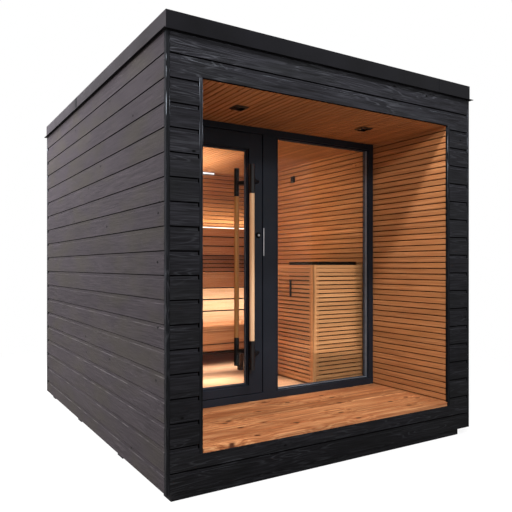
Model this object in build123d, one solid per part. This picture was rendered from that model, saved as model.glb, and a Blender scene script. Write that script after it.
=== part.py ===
from build123d import *
import os

# Outdoor sauna cabin with a glazed front wall set back in an open porch.
# Millimetres, +Z up, front towards -Y, origin on the ground under the middle of the cabin.

# Overall size, measured outside the cladding
cabin_width = 2490
cabin_depth = 3018

# Heights of what lies on what, from the ground up
bearer_height = 42
floor_thickness = 190
deck_thickness = 27
room_floor_thickness = 50
opening_height = 2062
room_ceiling_drop = 9
roof_thickness = 299

# Outer skin
cladding_thickness = 22
corner_trim_depth = 28
opening_trim_width = 22
left_column_width = 220
right_column_width = 244

# Inner skin
lining_thickness = 20
lining_reveal = 3
ceiling_lining_thickness = 20
back_wall_depth = 230
porch_depth = 795

# Roof edge
membrane_thickness = 8
fascia_thickness = 3
fascia_height = 104
fascia_flange = 60
drip_projection = 22
drip_drop = 6

# Bearers under the floor
bearer_width = 104
front_bearer_inset = 6
glazing_bearer_setback = 14
rear_bearer_inset = 134
rear_bearer_pitch = 938
bearer_left_inset = 31
bearer_right_inset = 127

# Glazed wall
frame_depth = 82
jamb_width = 48
head_height = 47
frame_sill_height = 79
door_opening_width = 857
post_width = 136
glass_thickness = 24
glass_setback = 34
bead_width = 9
bead_depth = 14

# Door leaf and the stops that it closes against
door_thickness = 68
door_gap = 5
stop_width = 20
lock_gap = 9
stile_width = 114
top_rail_height = 118
bottom_rail_height = 62

# Door hinges
hinge_end_distance = 204
hinge_length = 110
barrel_radius = 11
pin_radius = 5
pin_clearance = 0.05
knuckle_gap = 0.5
hinge_standoff = 12
hinge_plate_width = 40
hinge_plate_thickness = 3

# Pull handles, one on each face of the door
bar_radius = 19
sleeve_radius = 20
bar_above_door_bottom = 194
bar_below_door_top = 247
sleeve_length = 215
bar_offset = 80
bar_to_stile_edge = 139
post_radius = 17
post_seat_from_edge = 50
post_from_bar_end = 111
lock_above_floor = 1224
lock_from_edge = 36
rose_radius = 22
rose_height = 8
rose_chamfer = 2
cylinder_radius = 8.5
cylinder_height = 4

# Porch lights
downlight_side = 91
downlight_drop = 4
downlight_inset = 466
downlight_from_front = 403

# Benches
upper_bench_height = 924
lower_bench_height = 433
benches_share_of_room = 0.522
upper_share_of_benches = 0.6
bench_board = 43
apron_thickness = 20
upper_apron_height = 103
riser_setback = 14
lower_front_height = 181
bench_leg = 45
bench_rail_height = 70
bench_frame_inset = 113
bench_frame_count = 4

# Backrest and lights over it
backrest_above_bench = 192
backrest_height = 295
backrest_thickness = 22
backrest_standoff = 36
backrest_side_gap = 30
batten_width = 45
batten_inset = 143
batten_count = 3
strip_height = 10
strip_depth = 14
wall_lamp_length = 1004
wall_lamp_side = 28

# Heater and its slatted guard
guard_width = 572
guard_depth = 600
guard_clearance = 23
guard_foot_gap = 15
guard_height = 1000
guard_post = 36
guard_rail_height = 60
guard_foot_rail_height = 30
guard_rail_thickness = 28
slat_pitch = 35.8
slat_height = 27
slat_thickness = 16
guard_handle_length = 140
guard_handle_width = 13
guard_handle_below_top = 201
guard_handle_from_front = 314
heater_side = 430
heater_from_wall = 239
heater_height = 1029
heater_foot = 60
heater_wall = 6
well_depth = 90
heater_leg = 40
heater_leg_inset = 20

# Room sensor
sensor_width = 49
sensor_height = 65
sensor_depth = 24
sensor_from_back = 812
sensor_below_ceiling = 139

# Planes that several pieces share
west = -cabin_width / 2
east = cabin_width / 2
front = -cabin_depth / 2
back = cabin_depth / 2
opening_west = west + left_column_width
opening_east = east - right_column_width
room_west = opening_west - lining_reveal
room_east = opening_east + lining_reveal
room_back = back - back_wall_depth
skin = cladding_thickness
wall_base = bearer_height + floor_thickness
deck_top = wall_base + deck_thickness
interior_floor_top = wall_base + room_floor_thickness
opening_top = deck_top + opening_height
room_ceiling_z = opening_top - room_ceiling_drop
wall_top = opening_top + ceiling_lining_thickness
roof_deck_top = wall_top + roof_thickness
roof_edge_top = roof_deck_top + membrane_thickness + fascia_thickness

# Planes of the glazed wall and the door leaf in it
frame_front = front + porch_depth
frame_back = frame_front + frame_depth
frame_sill_top = wall_base + frame_sill_height
frame_head_foot = opening_top - head_height
post_west = room_west + jamb_width + door_opening_width
post_east = post_west + post_width
glass_front = frame_front + glass_setback
glass_back = glass_front + glass_thickness
door_west = room_west + jamb_width + door_gap
door_east = post_west - lock_gap
door_bottom = frame_sill_top + door_gap
door_top = frame_head_foot - door_gap
door_back = frame_front + door_thickness
stop_front = door_back + door_gap
hinge_x = door_west - door_gap / 2
hinge_y = frame_front - hinge_standoff
bar_x = door_east - bar_to_stile_edge
bar_bottom = door_bottom + bar_above_door_bottom
bar_top = door_top - bar_below_door_top

# Planes of the benches and the heater guard
upper_bench_top = interior_floor_top + upper_bench_height
lower_bench_top = interior_floor_top + lower_bench_height
backrest_bottom = upper_bench_top + backrest_above_bench
backrest_top = backrest_bottom + backrest_height
backrest_back = room_back - backrest_standoff
guard_west = room_east - guard_width
guard_front = frame_back + guard_clearance
guard_back = guard_front + guard_depth
guard_top = interior_floor_top + guard_height
guard_bottom = interior_floor_top + guard_foot_gap
benches_depth = (room_back - frame_back) * benches_share_of_room
lower_bench_front = room_back - benches_depth
upper_bench_front = room_back - benches_depth * upper_share_of_benches


def block(x0, x1, y0, y1, z0, z1):
    # A straight slab or post between three pairs of planes
    middle = ((x0 + x1) / 2, (y0 + y1) / 2, (z0 + z1) / 2)
    return Pos(*middle) * Box(x1 - x0, y1 - y0, z1 - z0)


def rod(x, y, z0, z1, radius):
    # An upright round bar
    return Pos(x, y, (z0 + z1) / 2) * Cylinder(radius, z1 - z0)


# Base

def floor_bearers():
    # One at the front, one under the glazed wall, two behind
    last = back - rear_bearer_inset - bearer_width
    places = (front + front_bearer_inset, frame_front + glazing_bearer_setback, last - rear_bearer_pitch, last)
    return [block(west + bearer_left_inset, east - bearer_right_inset, y0, y0 + bearer_width, 0, bearer_height)
            for y0 in places]


def floor_cassette():
    return block(west + skin, east - skin, front + skin, back - skin, bearer_height, wall_base)


def porch_deck():
    return block(opening_west, opening_east, front, frame_front, wall_base, deck_top)


def interior_floor():
    return block(room_west, room_east, frame_back, room_back, wall_base, interior_floor_top)


# Walls and roof

def side_walls():
    return [block(x0, x1, front + skin, back - skin, wall_base, wall_top)
            for x0, x1 in ((west + skin, room_west - lining_thickness),
                           (room_east + lining_thickness, east - skin))]


def back_wall():
    return block(room_west - lining_thickness, room_east + lining_thickness,
                 room_back + lining_thickness, back - skin, wall_base, wall_top)


def roof_cassette():
    return block(west + skin, east - skin, front + skin, back - skin, wall_top, roof_deck_top)


def roof_membrane():
    return block(west, east, front, back, roof_deck_top, roof_deck_top + membrane_thickness)


def fascia_profile():
    # Section of the bent sheet: flange on the roof, upright face, lip that sheds water outwards
    top = roof_edge_top
    foot = top - fascia_height
    sheet = fascia_thickness
    corners = [(-fascia_flange, top), (sheet, top), (sheet, foot + drip_drop),
               (drip_projection, foot), (drip_projection, foot - sheet),
               (0, foot + drip_drop - sheet), (0, top - sheet), (-fascia_flange, top - sheet)]
    return Polyline(*corners, close=True)


def fascia_run(length, wall_distance, turn):
    # One side of the roof edge, mitred at 45 degrees where it meets its neighbours
    face = make_face(fascia_profile())
    reach = length / 2 + drip_projection
    run = extrude(Plane.XZ * face, amount=reach, both=True)
    low = roof_edge_top - fascia_height - drip_drop
    high = roof_edge_top + fascia_thickness
    half = length / 2
    wedge = Polyline((drip_projection, half + drip_projection), (drip_projection, -half - drip_projection),
                     (-fascia_flange, -half + fascia_flange), (-fascia_flange, half - fascia_flange),
                     close=True)
    keep = Pos(0, 0, low) * extrude(make_face(wedge), amount=high - low)
    return Rot(0, 0, turn) * (Pos(wall_distance, 0, 0) * (run & keep))


def roof_fascia():
    return [fascia_run(cabin_depth, east, 0), fascia_run(cabin_depth, east, 180),
            fascia_run(cabin_width, back, 90), fascia_run(cabin_width, back, -90)]


def side_cladding():
    return [block(x0, x0 + skin, front + corner_trim_depth, back - corner_trim_depth,
                  bearer_height, roof_deck_top)
            for x0 in (west, east - skin)]


def back_cladding():
    return block(west + skin, east - skin, back - skin, back, bearer_height, roof_deck_top)


def front_columns():
    left = block(west + skin, opening_west - opening_trim_width, front, front + skin,
                 wall_base, opening_top)
    right = block(opening_east + opening_trim_width, east - skin, front, front + skin,
                  wall_base, opening_top)
    return [left, right]


def front_header():
    return block(west + skin, east - skin, front, front + skin, opening_top, roof_deck_top)


def front_sill():
    return block(west + skin, east - skin, front, front + skin, bearer_height, wall_base)


def corner_trims():
    posts = []
    for x0 in (west, east - skin):
        for y0 in (front, back - corner_trim_depth):
            posts.append(block(x0, x0 + skin, y0, y0 + corner_trim_depth,
                               bearer_height, roof_deck_top))
    return posts


def opening_trims():
    left = block(opening_west - opening_trim_width, opening_west, front, front + skin,
                 wall_base, opening_top)
    right = block(opening_east, opening_east + opening_trim_width, front, front + skin,
                  wall_base, opening_top)
    return [left, right]


# Linings

def porch_linings():
    left = block(room_west - lining_thickness, room_west, front + skin, frame_back,
                 wall_base, opening_top)
    right = block(room_east, room_east + lining_thickness, front + skin, frame_back,
                  wall_base, opening_top)
    return [left, right]


def porch_ceiling():
    return block(room_west - lining_thickness, room_east + lining_thickness, front + skin, frame_back,
                 opening_top, wall_top)


def room_linings():
    left = block(room_west - lining_thickness, room_west, frame_back, room_back + lining_thickness,
                 wall_base, room_ceiling_z)
    right = block(room_east, room_east + lining_thickness, frame_back, room_back + lining_thickness,
                  wall_base, room_ceiling_z)
    rear = block(room_west, room_east, room_back, room_back + lining_thickness,
                 wall_base, room_ceiling_z)
    return [left, right, rear]


def room_ceiling():
    return block(room_west - lining_thickness, room_east + lining_thickness,
                 frame_back, room_back + lining_thickness, room_ceiling_z, wall_top)


def porch_lights():
    y = front + downlight_from_front
    half = downlight_side / 2
    return [block(x - half, x + half, y - half, y + half, opening_top - downlight_drop, opening_top)
            for x in (opening_west + downlight_inset, opening_east - downlight_inset)]


# Glazed wall

def frame_uprights():
    return [block(x0, x1, frame_front, frame_back, frame_sill_top, frame_head_foot)
            for x0, x1 in ((room_west, room_west + jamb_width), (post_west, post_east),
                           (room_east - jamb_width, room_east))]


def frame_rails():
    head = block(room_west, room_east, frame_front, frame_back, frame_head_foot, opening_top)
    sill = block(room_west, room_east, frame_front, frame_back, wall_base, frame_sill_top)
    return [head, sill]


def bead_ring(x0, x1, z0, z1, y0, y1):
    # Four straight beads that hold a pane: two uprights between two full-width rails
    width = bead_width
    return [block(x0, x1, y0, y1, z0, z0 + width),
            block(x0, x1, y0, y1, z1 - width, z1),
            block(x0, x0 + width, y0, y1, z0 + width, z1 - width),
            block(x1 - width, x1, y0, y1, z0 + width, z1 - width)]


def window_light():
    # Left, right, bottom and top of the opening that the fixed pane fills
    return post_east, room_east - jamb_width, frame_sill_top, frame_head_foot


def fixed_glass():
    x0, x1, z0, z1 = window_light()
    return block(x0, x1, glass_front, glass_back, z0, z1)


def window_beads():
    x0, x1, z0, z1 = window_light()
    return bead_ring(x0, x1, z0, z1, glass_front - bead_depth, glass_front)


def door_stops():
    # Strips inside the frame behind the edges of the door leaf: two uprights between two rails
    x0 = room_west + jamb_width
    x1 = post_west
    low = frame_sill_top + stop_width
    high = frame_head_foot - stop_width
    return [block(x0, x1, stop_front, frame_back, frame_sill_top, low),
            block(x0, x1, stop_front, frame_back, high, frame_head_foot),
            block(x0, x0 + stop_width, stop_front, frame_back, low, high),
            block(x1 - stop_width, x1, stop_front, frame_back, low, high)]


# Door

def door_stiles():
    hinge_side = block(door_west, door_west + stile_width, frame_front, door_back, door_bottom, door_top)
    lock_side = block(door_east - stile_width, door_east, frame_front, door_back, door_bottom, door_top)
    return [hinge_side, lock_side]


def door_light():
    # Left, right, bottom and top of the opening that the door's pane fills
    return (door_west + stile_width, door_east - stile_width,
            door_bottom + bottom_rail_height, door_top - top_rail_height)


def door_rails():
    x0, x1, z0, z1 = door_light()
    return [block(x0, x1, frame_front, door_back, door_bottom, z0),
            block(x0, x1, frame_front, door_back, z1, door_top)]


def door_glass():
    x0, x1, z0, z1 = door_light()
    return block(x0, x1, glass_front, glass_back, z0, z1)


def door_beads():
    x0, x1, z0, z1 = door_light()
    return bead_ring(x0, x1, z0, z1, glass_front - bead_depth, glass_front)


def hinge_half(z, side):
    # side -1 is the half on the frame with the pin, side 1 the half on the door with the bore
    length = hinge_length / 2
    z0 = z - length if side < 0 else z + knuckle_gap
    z1 = z if side < 0 else z + length
    far = hinge_x + side * hinge_plate_width
    plate = block(min(hinge_x, far), max(hinge_x, far), frame_front - hinge_plate_thickness, frame_front,
                  z0, z1)
    knuckle = plate + rod(hinge_x, hinge_y, z0, z1, barrel_radius)
    if side < 0:
        return knuckle + rod(hinge_x, hinge_y, z0, z + length - 2 * knuckle_gap, pin_radius)
    return knuckle - rod(hinge_x, hinge_y, z0 - 1, z1 + 1, pin_radius + pin_clearance)


def hinge_heights():
    low = door_bottom + hinge_end_distance
    high = door_top - hinge_end_distance
    return low, (low + high) / 2, high


def frame_hinges():
    return [hinge_half(z, -1) for z in hinge_heights()]


def door_hinges():
    return [hinge_half(z, 1) for z in hinge_heights()]


def handle_faces():
    # Each face of the door with the direction that points away from it
    return ((frame_front, -1), (door_back, 1))


def handle_grips():
    return [rod(bar_x, face + away * bar_offset, bar_bottom + sleeve_length, bar_top - sleeve_length, bar_radius)
            for face, away in handle_faces()]


def slanted_post(face, away, z):
    # Round post that runs at a slant from the stile to the bar and is cut flush with the door's face
    seat = Vector(door_east - post_seat_from_edge, face, z)
    end = Vector(bar_x, face + away * bar_offset, z)
    run = end - seat
    start = seat - run.normalized() * 2 * post_radius
    section = Plane(origin=start, z_dir=run) * Circle(post_radius)
    post = extrude(section, amount=run.length + 2 * post_radius)
    beyond = 2 * bar_offset
    keep = block(bar_x - beyond, door_east + beyond, min(face, face + away * beyond),
                 max(face, face + away * beyond), z - beyond, z + beyond)
    return post & keep


def handle_fittings():
    fittings = []
    for face, away in handle_faces():
        y = face + away * bar_offset
        for z0, z in ((bar_bottom, bar_bottom + post_from_bar_end),
                      (bar_top - sleeve_length, bar_top - post_from_bar_end)):
            sleeve = rod(bar_x, y, z0, z0 + sleeve_length, sleeve_radius)
            fittings.append(sleeve + slanted_post(face, away, z))
    return fittings


def door_lock():
    x = door_east - lock_from_edge
    lock = []
    for face, away in handle_faces():
        rose = Cylinder(rose_radius, rose_height)
        core = Pos(0, 0, (rose_height + cylinder_height) / 2) * Cylinder(cylinder_radius, cylinder_height)
        rose = chamfer(rose.edges().sort_by(Axis.Z)[-1], rose_chamfer)
        middle = (x, face + away * rose_height / 2, interior_floor_top + lock_above_floor)
        lock.append(Plane(origin=middle, z_dir=(0, away, 0)) * (rose + core))
    return lock


# Benches

def bench_seats():
    return [block(room_west, room_east, y0, room_back, top - bench_board, top)
            for y0, top in ((lower_bench_front, lower_bench_top), (upper_bench_front, upper_bench_top))]


def bench_fronts():
    under_upper = upper_bench_top - bench_board
    under_lower = lower_bench_top - bench_board
    apron = block(room_west, room_east, upper_bench_front, upper_bench_front + apron_thickness,
                  under_upper - upper_apron_height, under_upper)
    riser_y = upper_bench_front + apron_thickness
    riser = block(room_west, room_east, riser_y, riser_y + apron_thickness, lower_bench_top, under_upper)
    front_y = lower_bench_front + riser_setback
    front_board = block(room_west, room_east, front_y, front_y + apron_thickness,
                        under_lower - lower_front_height, under_lower)
    return [apron, riser, front_board]


def spread(count, inset):
    # Evenly spaced places across the room, the outer ones inset from its side linings
    first = room_west + inset
    step = (room_east - inset - first) / (count - 1)
    return [first + i * step for i in range(count)]


def bench_frames():
    # For each bench: front of its frames, what they stand on and the underside of the seat
    lower_y = lower_bench_front + riser_setback + apron_thickness
    upper_y = upper_bench_front + 2 * apron_thickness
    return ((lower_y, interior_floor_top, lower_bench_top - bench_board),
            (upper_y, lower_bench_top, upper_bench_top - bench_board))


def bench_legs():
    half = bench_leg / 2
    return [block(x - half, x + half, y, y + bench_leg, foot, seat - bench_rail_height)
            for x in spread(bench_frame_count, bench_frame_inset)
            for front_y, foot, seat in bench_frames()
            for y in (front_y, room_back - bench_leg)]


def bench_rails():
    half = bench_leg / 2
    return [block(x - half, x + half, front_y, room_back, seat - bench_rail_height, seat)
            for x in spread(bench_frame_count, bench_frame_inset)
            for front_y, foot, seat in bench_frames()]


def backrest():
    return block(room_west + backrest_side_gap, room_east - backrest_side_gap,
                 backrest_back - backrest_thickness, backrest_back, backrest_bottom, backrest_top)


def backrest_battens():
    half = batten_width / 2
    return [block(x - half, x + half, backrest_back, room_back, backrest_bottom, backrest_top)
            for x in spread(batten_count, batten_inset)]


def light_strips():
    y0 = backrest_back - backrest_thickness
    over = block(room_west + backrest_side_gap, room_east - backrest_side_gap,
                 y0, y0 + strip_depth, backrest_top, backrest_top + strip_height)
    y1 = upper_bench_front + apron_thickness
    z1 = upper_bench_top - bench_board - upper_apron_height
    under = block(room_west, room_east, y1 - strip_depth, y1, z1 - strip_height, z1)
    return [over, under]


def wall_lamp():
    half = wall_lamp_length / 2
    x = (room_west + room_east) / 2
    return block(x - half, x + half, room_back - wall_lamp_side, room_back,
                 room_ceiling_z - wall_lamp_side, room_ceiling_z)


# Heater and guard

def slat_heights(z0, z1):
    # Slats fill the height between the rails at an even pitch close to the wanted one
    count = round((z1 - z0) / slat_pitch)
    pitch = (z1 - z0) / count
    return [z0 + (i + 0.5) * pitch for i in range(count)]


def guard_panel(length):
    # A flat panel along +X: a rail at the head and the foot, a batten at each end, slats across them
    foot_rail_top = guard_bottom + guard_foot_rail_height
    head_rail_foot = guard_top - guard_rail_height
    panel = block(0, length, 0, guard_rail_thickness, guard_bottom, foot_rail_top)
    panel += block(0, length, 0, guard_rail_thickness, head_rail_foot, guard_top)
    for x0 in (0, length - guard_post):
        panel += block(x0, x0 + guard_post, slat_thickness, guard_rail_thickness,
                       foot_rail_top, head_rail_foot)
    for z in slat_heights(foot_rail_top, head_rail_foot):
        panel += block(0, length, 0, slat_thickness, z - slat_height / 2, z + slat_height / 2)
    return panel


def guard_end_panels():
    # The panels that run from the corner posts to the side lining, front and rear
    ahead = Pos(guard_west + guard_post, guard_front, 0) * guard_panel(guard_width - guard_post)
    turned = Rot(0, 0, 180) * guard_panel(guard_width - guard_post)
    return [ahead, Pos(room_east, guard_back, 0) * turned]


def guard_side_panel():
    # The side that faces the room, with the two corner posts that the whole guard stands on
    turned = Rot(0, 0, -90) * guard_panel(guard_depth - 2 * guard_post)
    panel = Pos(guard_west, guard_back - guard_post, 0) * turned
    for y in (guard_front, guard_back - guard_post):
        panel += block(guard_west, guard_west + guard_post, y, y + guard_post,
                       interior_floor_top, guard_top)
    return panel


def guard_handle():
    y = guard_front + guard_handle_from_front
    z = guard_top - guard_handle_below_top
    half = guard_handle_width / 2
    return block(guard_west - guard_handle_width, guard_west, y - half, y + half,
                 z - guard_handle_length / 2, z + guard_handle_length / 2)


def heater():
    # Upright steel box on four feet, open at the top for its stones
    half = heater_side / 2
    x = room_east - heater_from_wall
    y = (guard_front + guard_back) / 2
    foot_top = interior_floor_top + heater_foot
    top = interior_floor_top + heater_height
    shell = block(x - half, x + half, y - half, y + half, foot_top, top)
    well = half - heater_wall
    shell -= block(x - well, x + well, y - well, y + well, top - well_depth, top)
    reach = half - heater_leg_inset - heater_leg / 2
    leg = Box(heater_leg, heater_leg, heater_foot)
    legs = [Pos(place.position) * leg for place in GridLocations(2 * reach, 2 * reach, 2, 2)]
    return shell + [Pos(x, y, interior_floor_top + heater_foot / 2) * leg for leg in legs]


def room_sensor():
    y = room_back - sensor_from_back
    z = room_ceiling_z - sensor_below_ceiling
    return block(room_east - sensor_depth, room_east, y - sensor_width / 2, y + sensor_width / 2,
                 z - sensor_height / 2, z + sensor_height / 2)


nodes = {
    "floor_bearers": floor_bearers(),
    "floor_cassette": floor_cassette(),
    "porch_deck": porch_deck(),
    "interior_floor": interior_floor(),
    "side_walls": side_walls(),
    "back_wall": back_wall(),
    "roof_cassette": roof_cassette(),
    "roof_membrane": roof_membrane(),
    "roof_fascia": roof_fascia(),
    "side_cladding": side_cladding(),
    "back_cladding": back_cladding(),
    "front_columns": front_columns(),
    "front_header": front_header(),
    "front_sill": front_sill(),
    "corner_trims": corner_trims(),
    "opening_trims": opening_trims(),
    "porch_linings": porch_linings(),
    "porch_ceiling": porch_ceiling(),
    "room_linings": room_linings(),
    "room_ceiling": room_ceiling(),
    "porch_lights": porch_lights(),
    "frame_uprights": frame_uprights(),
    "frame_rails": frame_rails(),
    "fixed_glass": fixed_glass(),
    "window_beads": window_beads(),
    "door_stops": door_stops(),
    "frame_hinges": frame_hinges(),
    "door_stiles": door_stiles(),
    "door_rails": door_rails(),
    "door_glass": door_glass(),
    "door_beads": door_beads(),
    "door_hinges": door_hinges(),
    "handle_grips": handle_grips(),
    "handle_fittings": handle_fittings(),
    "door_lock": door_lock(),
    "bench_seats": bench_seats(),
    "bench_fronts": bench_fronts(),
    "bench_legs": bench_legs(),
    "bench_rails": bench_rails(),
    "backrest": backrest(),
    "backrest_battens": backrest_battens(),
    "light_strips": light_strips(),
    "wall_lamp": wall_lamp(),
    "guard_end_panels": guard_end_panels(),
    "guard_side_panel": guard_side_panel(),
    "guard_handle": guard_handle(),
    "heater": heater(),
    "room_sensor": room_sensor(),
}

os.makedirs("parts", exist_ok=True)
for name, shape in nodes.items():
    solids = shape if isinstance(shape, list) else [shape]
    piece = solids[0] if len(solids) == 1 else Compound(children=solids)
    export_step(piece, f"parts/{name}.step")
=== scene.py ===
import math
import random

import bpy
from mathutils import Matrix, Vector


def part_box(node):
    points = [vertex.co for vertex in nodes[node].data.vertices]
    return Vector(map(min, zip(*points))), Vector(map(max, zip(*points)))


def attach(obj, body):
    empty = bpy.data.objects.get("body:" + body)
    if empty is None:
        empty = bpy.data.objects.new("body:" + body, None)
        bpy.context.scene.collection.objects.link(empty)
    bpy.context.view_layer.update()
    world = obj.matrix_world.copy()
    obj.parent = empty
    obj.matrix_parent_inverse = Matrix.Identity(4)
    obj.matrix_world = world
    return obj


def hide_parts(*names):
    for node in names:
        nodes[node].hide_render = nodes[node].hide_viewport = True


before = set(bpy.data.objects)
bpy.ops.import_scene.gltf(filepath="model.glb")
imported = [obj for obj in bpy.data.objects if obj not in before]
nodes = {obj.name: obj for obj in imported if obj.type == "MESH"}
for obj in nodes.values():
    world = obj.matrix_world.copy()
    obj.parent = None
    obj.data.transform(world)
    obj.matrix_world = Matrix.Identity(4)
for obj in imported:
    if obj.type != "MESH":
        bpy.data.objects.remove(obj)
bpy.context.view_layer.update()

mm = 0.001


# picking and shaping, used by every piece

def clearSelection():
    if bpy.context.object and bpy.context.object.mode != "OBJECT":
        bpy.ops.object.mode_set(mode="OBJECT")
    bpy.ops.object.select_all(action="DESELECT")


def makeActive(piece):
    clearSelection()
    bpy.context.view_layer.objects.active = piece
    piece.select_set(True)


def startBlock(name, low, high):
    # a cube primitive brought to its size and place, still to be shaped
    clearSelection()
    low, high = Vector(low), Vector(high)
    bpy.ops.mesh.primitive_cube_add(size=1, location=(low + high) / 2)
    piece = bpy.context.object
    piece.scale = high - low
    bpy.ops.object.transform_apply(location=True, rotation=True, scale=True)
    piece.name = name
    return piece


def pick(piece, kind, test):
    # selects the vertices, edges or faces whose middle and direction pass the test, in edit mode
    makeActive(piece)
    bpy.ops.object.mode_set(mode="EDIT")
    bpy.ops.mesh.select_mode(type=kind)
    bpy.ops.mesh.select_all(action="DESELECT")
    bpy.ops.object.mode_set(mode="OBJECT")
    mesh = piece.data
    spots = mesh.vertices
    if kind == "VERT":
        for vertex in mesh.vertices:
            vertex.select = test(vertex.co, vertex.normal)
    elif kind == "EDGE":
        for edge in mesh.edges:
            a, b = (spots[i].co for i in edge.vertices)
            edge.select = test((a + b) / 2, (b - a).normalized())
    else:
        for face in mesh.polygons:
            face.select = test(face.center, face.normal)
    bpy.ops.object.mode_set(mode="EDIT")


def leaveEdit():
    bpy.ops.object.mode_set(mode="OBJECT")


def bevelEdges(piece, width, segments, test):
    pick(piece, "EDGE", test)
    bpy.ops.mesh.bevel(offset=width, segments=segments, affect="EDGES")
    leaveEdit()


def cutAcross(piece, axis, place):
    # a new loop of edges all round the piece at one plane
    normal = Vector((0, 0, 0))
    normal[axis] = 1
    pick(piece, "FACE", lambda middle, direction: True)
    bpy.ops.mesh.bisect(plane_co=normal * place, plane_no=normal)
    leaveEdit()


def trimTo(piece, axis, place, keepBelow=True):
    # cuts the piece off at a plane and closes it again
    normal = Vector((0, 0, 0))
    normal[axis] = 1
    pick(piece, "FACE", lambda middle, direction: True)
    bpy.ops.mesh.bisect(plane_co=normal * place, plane_no=normal, use_fill=True,
                        clear_outer=keepBelow, clear_inner=not keepBelow)
    leaveEdit()


def shift(piece, offset, test):
    pick(piece, "VERT", test)
    bpy.ops.transform.translate(value=offset)
    leaveEdit()


def applyModifier(piece, kind, **settings):
    makeActive(piece)
    modifier = piece.modifiers.new(kind.title(), kind)
    for key, value in settings.items():
        setattr(modifier, key, value)
    bpy.ops.object.modifier_apply(modifier=modifier.name)


def setTone(piece, value):
    # one number for each board, which its wood reads for its shade and its own stretch of grain
    mesh = piece.data
    tone = mesh.attributes.get("boardTone") or mesh.attributes.new("boardTone", "FLOAT", "POINT")
    tone.data.foreach_set("value", [value] * len(mesh.vertices))


def markWorn(piece, test, amount=1.0):
    # faces drawn lighter on a board's eased edge: partly thinner stain, partly a painted highlight of the
    # light that the edge catches
    mesh = piece.data
    wornAndSheen = mesh.attributes.get("edgeWearAndSheen") or mesh.attributes.new("edgeWearAndSheen", "FLOAT", "FACE")
    shares = [amount if test(face.center, face.normal) else 0.0 for face in mesh.polygons]
    wornAndSheen.data.foreach_set("value", shares)


def slanted(middle, normal):
    return max(abs(normal.x), abs(normal.y), abs(normal.z)) < 0.985


def openFrame(name, low, high, width):
    # a rectangular ring round the Y axis, its middle cut out of a block and bridged
    ring = startBlock(name, low, high)
    pick(ring, "FACE", lambda middle, normal: abs(normal.y) > 0.9)
    bpy.ops.mesh.inset(thickness=width, depth=0)
    bpy.ops.mesh.bridge_edge_loops()
    leaveEdit()
    return ring


def solidBoxes(node):
    # the corners of each separate block of a CAD node, in the order of their lowest corner
    twin = nodes[node].copy()
    twin.data = nodes[node].data.copy()
    bpy.context.collection.objects.link(twin)
    twin.hide_viewport = False
    makeActive(twin)
    bpy.ops.object.mode_set(mode="EDIT")
    bpy.ops.mesh.select_all(action="SELECT")
    bpy.ops.mesh.remove_doubles(threshold=0.00001)
    bpy.ops.mesh.separate(type="LOOSE")
    bpy.ops.object.mode_set(mode="OBJECT")
    parts = list(bpy.context.selected_objects)
    boxes = []
    for part in parts:
        spots = [vertex.co for vertex in part.data.vertices]
        boxes.append((Vector([min(spot[i] for spot in spots) for i in range(3)]),
                      Vector([max(spot[i] for spot in spots) for i in range(3)])))
    discard(*parts)
    return sorted(boxes, key=lambda pair: tuple(round(value, 4) for value in pair[0]))


def copyTo(template, matrix, tone=None):
    twin = template.copy()
    twin.data = template.data.copy()
    bpy.context.collection.objects.link(twin)
    twin.data.transform(matrix)
    if tone is not None:
        setTone(twin, tone)
    return twin


def joinAs(name, pieces):
    clearSelection()
    for piece in pieces:
        piece.select_set(True)
    bpy.context.view_layer.objects.active = pieces[0]
    if len(pieces) > 1:
        bpy.ops.object.join()
    joined = bpy.context.object
    joined.name = name
    joined.data.name = name
    return joined


def discard(*templates):
    for template in templates:
        bpy.data.objects.remove(template)


def finish(piece, material, body, slotName, *standsFor):
    piece.data.materials.clear()
    piece.data.materials.append(material)
    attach(piece, body)
    if standsFor:
        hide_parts(*standsFor)
    return piece


def toneFor(*words):
    # the same random number for the same board on every run
    return random.Random("-".join(str(word) for word in words)).random()


# materials

def linear(hexCode):
    channels = [int(hexCode[i:i + 2], 16) / 255 for i in (1, 3, 5)]
    return tuple(c / 12.92 if c <= 0.04045 else ((c + 0.055) / 1.055) ** 2.4 for c in channels) + (1,)


def addNode(tree, kind, inputs=None, **settings):
    # inputs maps a socket to a value, to a node whose first output feeds it, or to a (node, output) pair.
    # A Map Range takes its value at 0, the range it comes from at 1 and 2 and the one it goes to at 3 and 4;
    # a colour Mix takes its share at 0 and its colours at 6 and 7, and gives the colour at 2
    node = tree.nodes.new("ShaderNode" + kind)
    for key, value in settings.items():
        setattr(node, key, value)
    for key, value in (inputs or {}).items():
        source = value if isinstance(value, tuple) else (value, 0)
        if hasattr(source[0], "outputs"):
            tree.links.new(source[0].outputs[source[1]], node.inputs[key])
        else:
            node.inputs[key].default_value = value
    return node


def newMaterial(name):
    material = bpy.data.materials.new(name)
    material.use_nodes = True
    tree = material.node_tree
    tree.nodes.clear()
    return material, tree


def setRamp(node, *stops):
    ramp = node.color_ramp
    while len(ramp.elements) < len(stops):
        ramp.elements.new(0.5)
    for element, (place, colour) in zip(ramp.elements, stops):
        element.position = place
        element.color = colour


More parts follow.
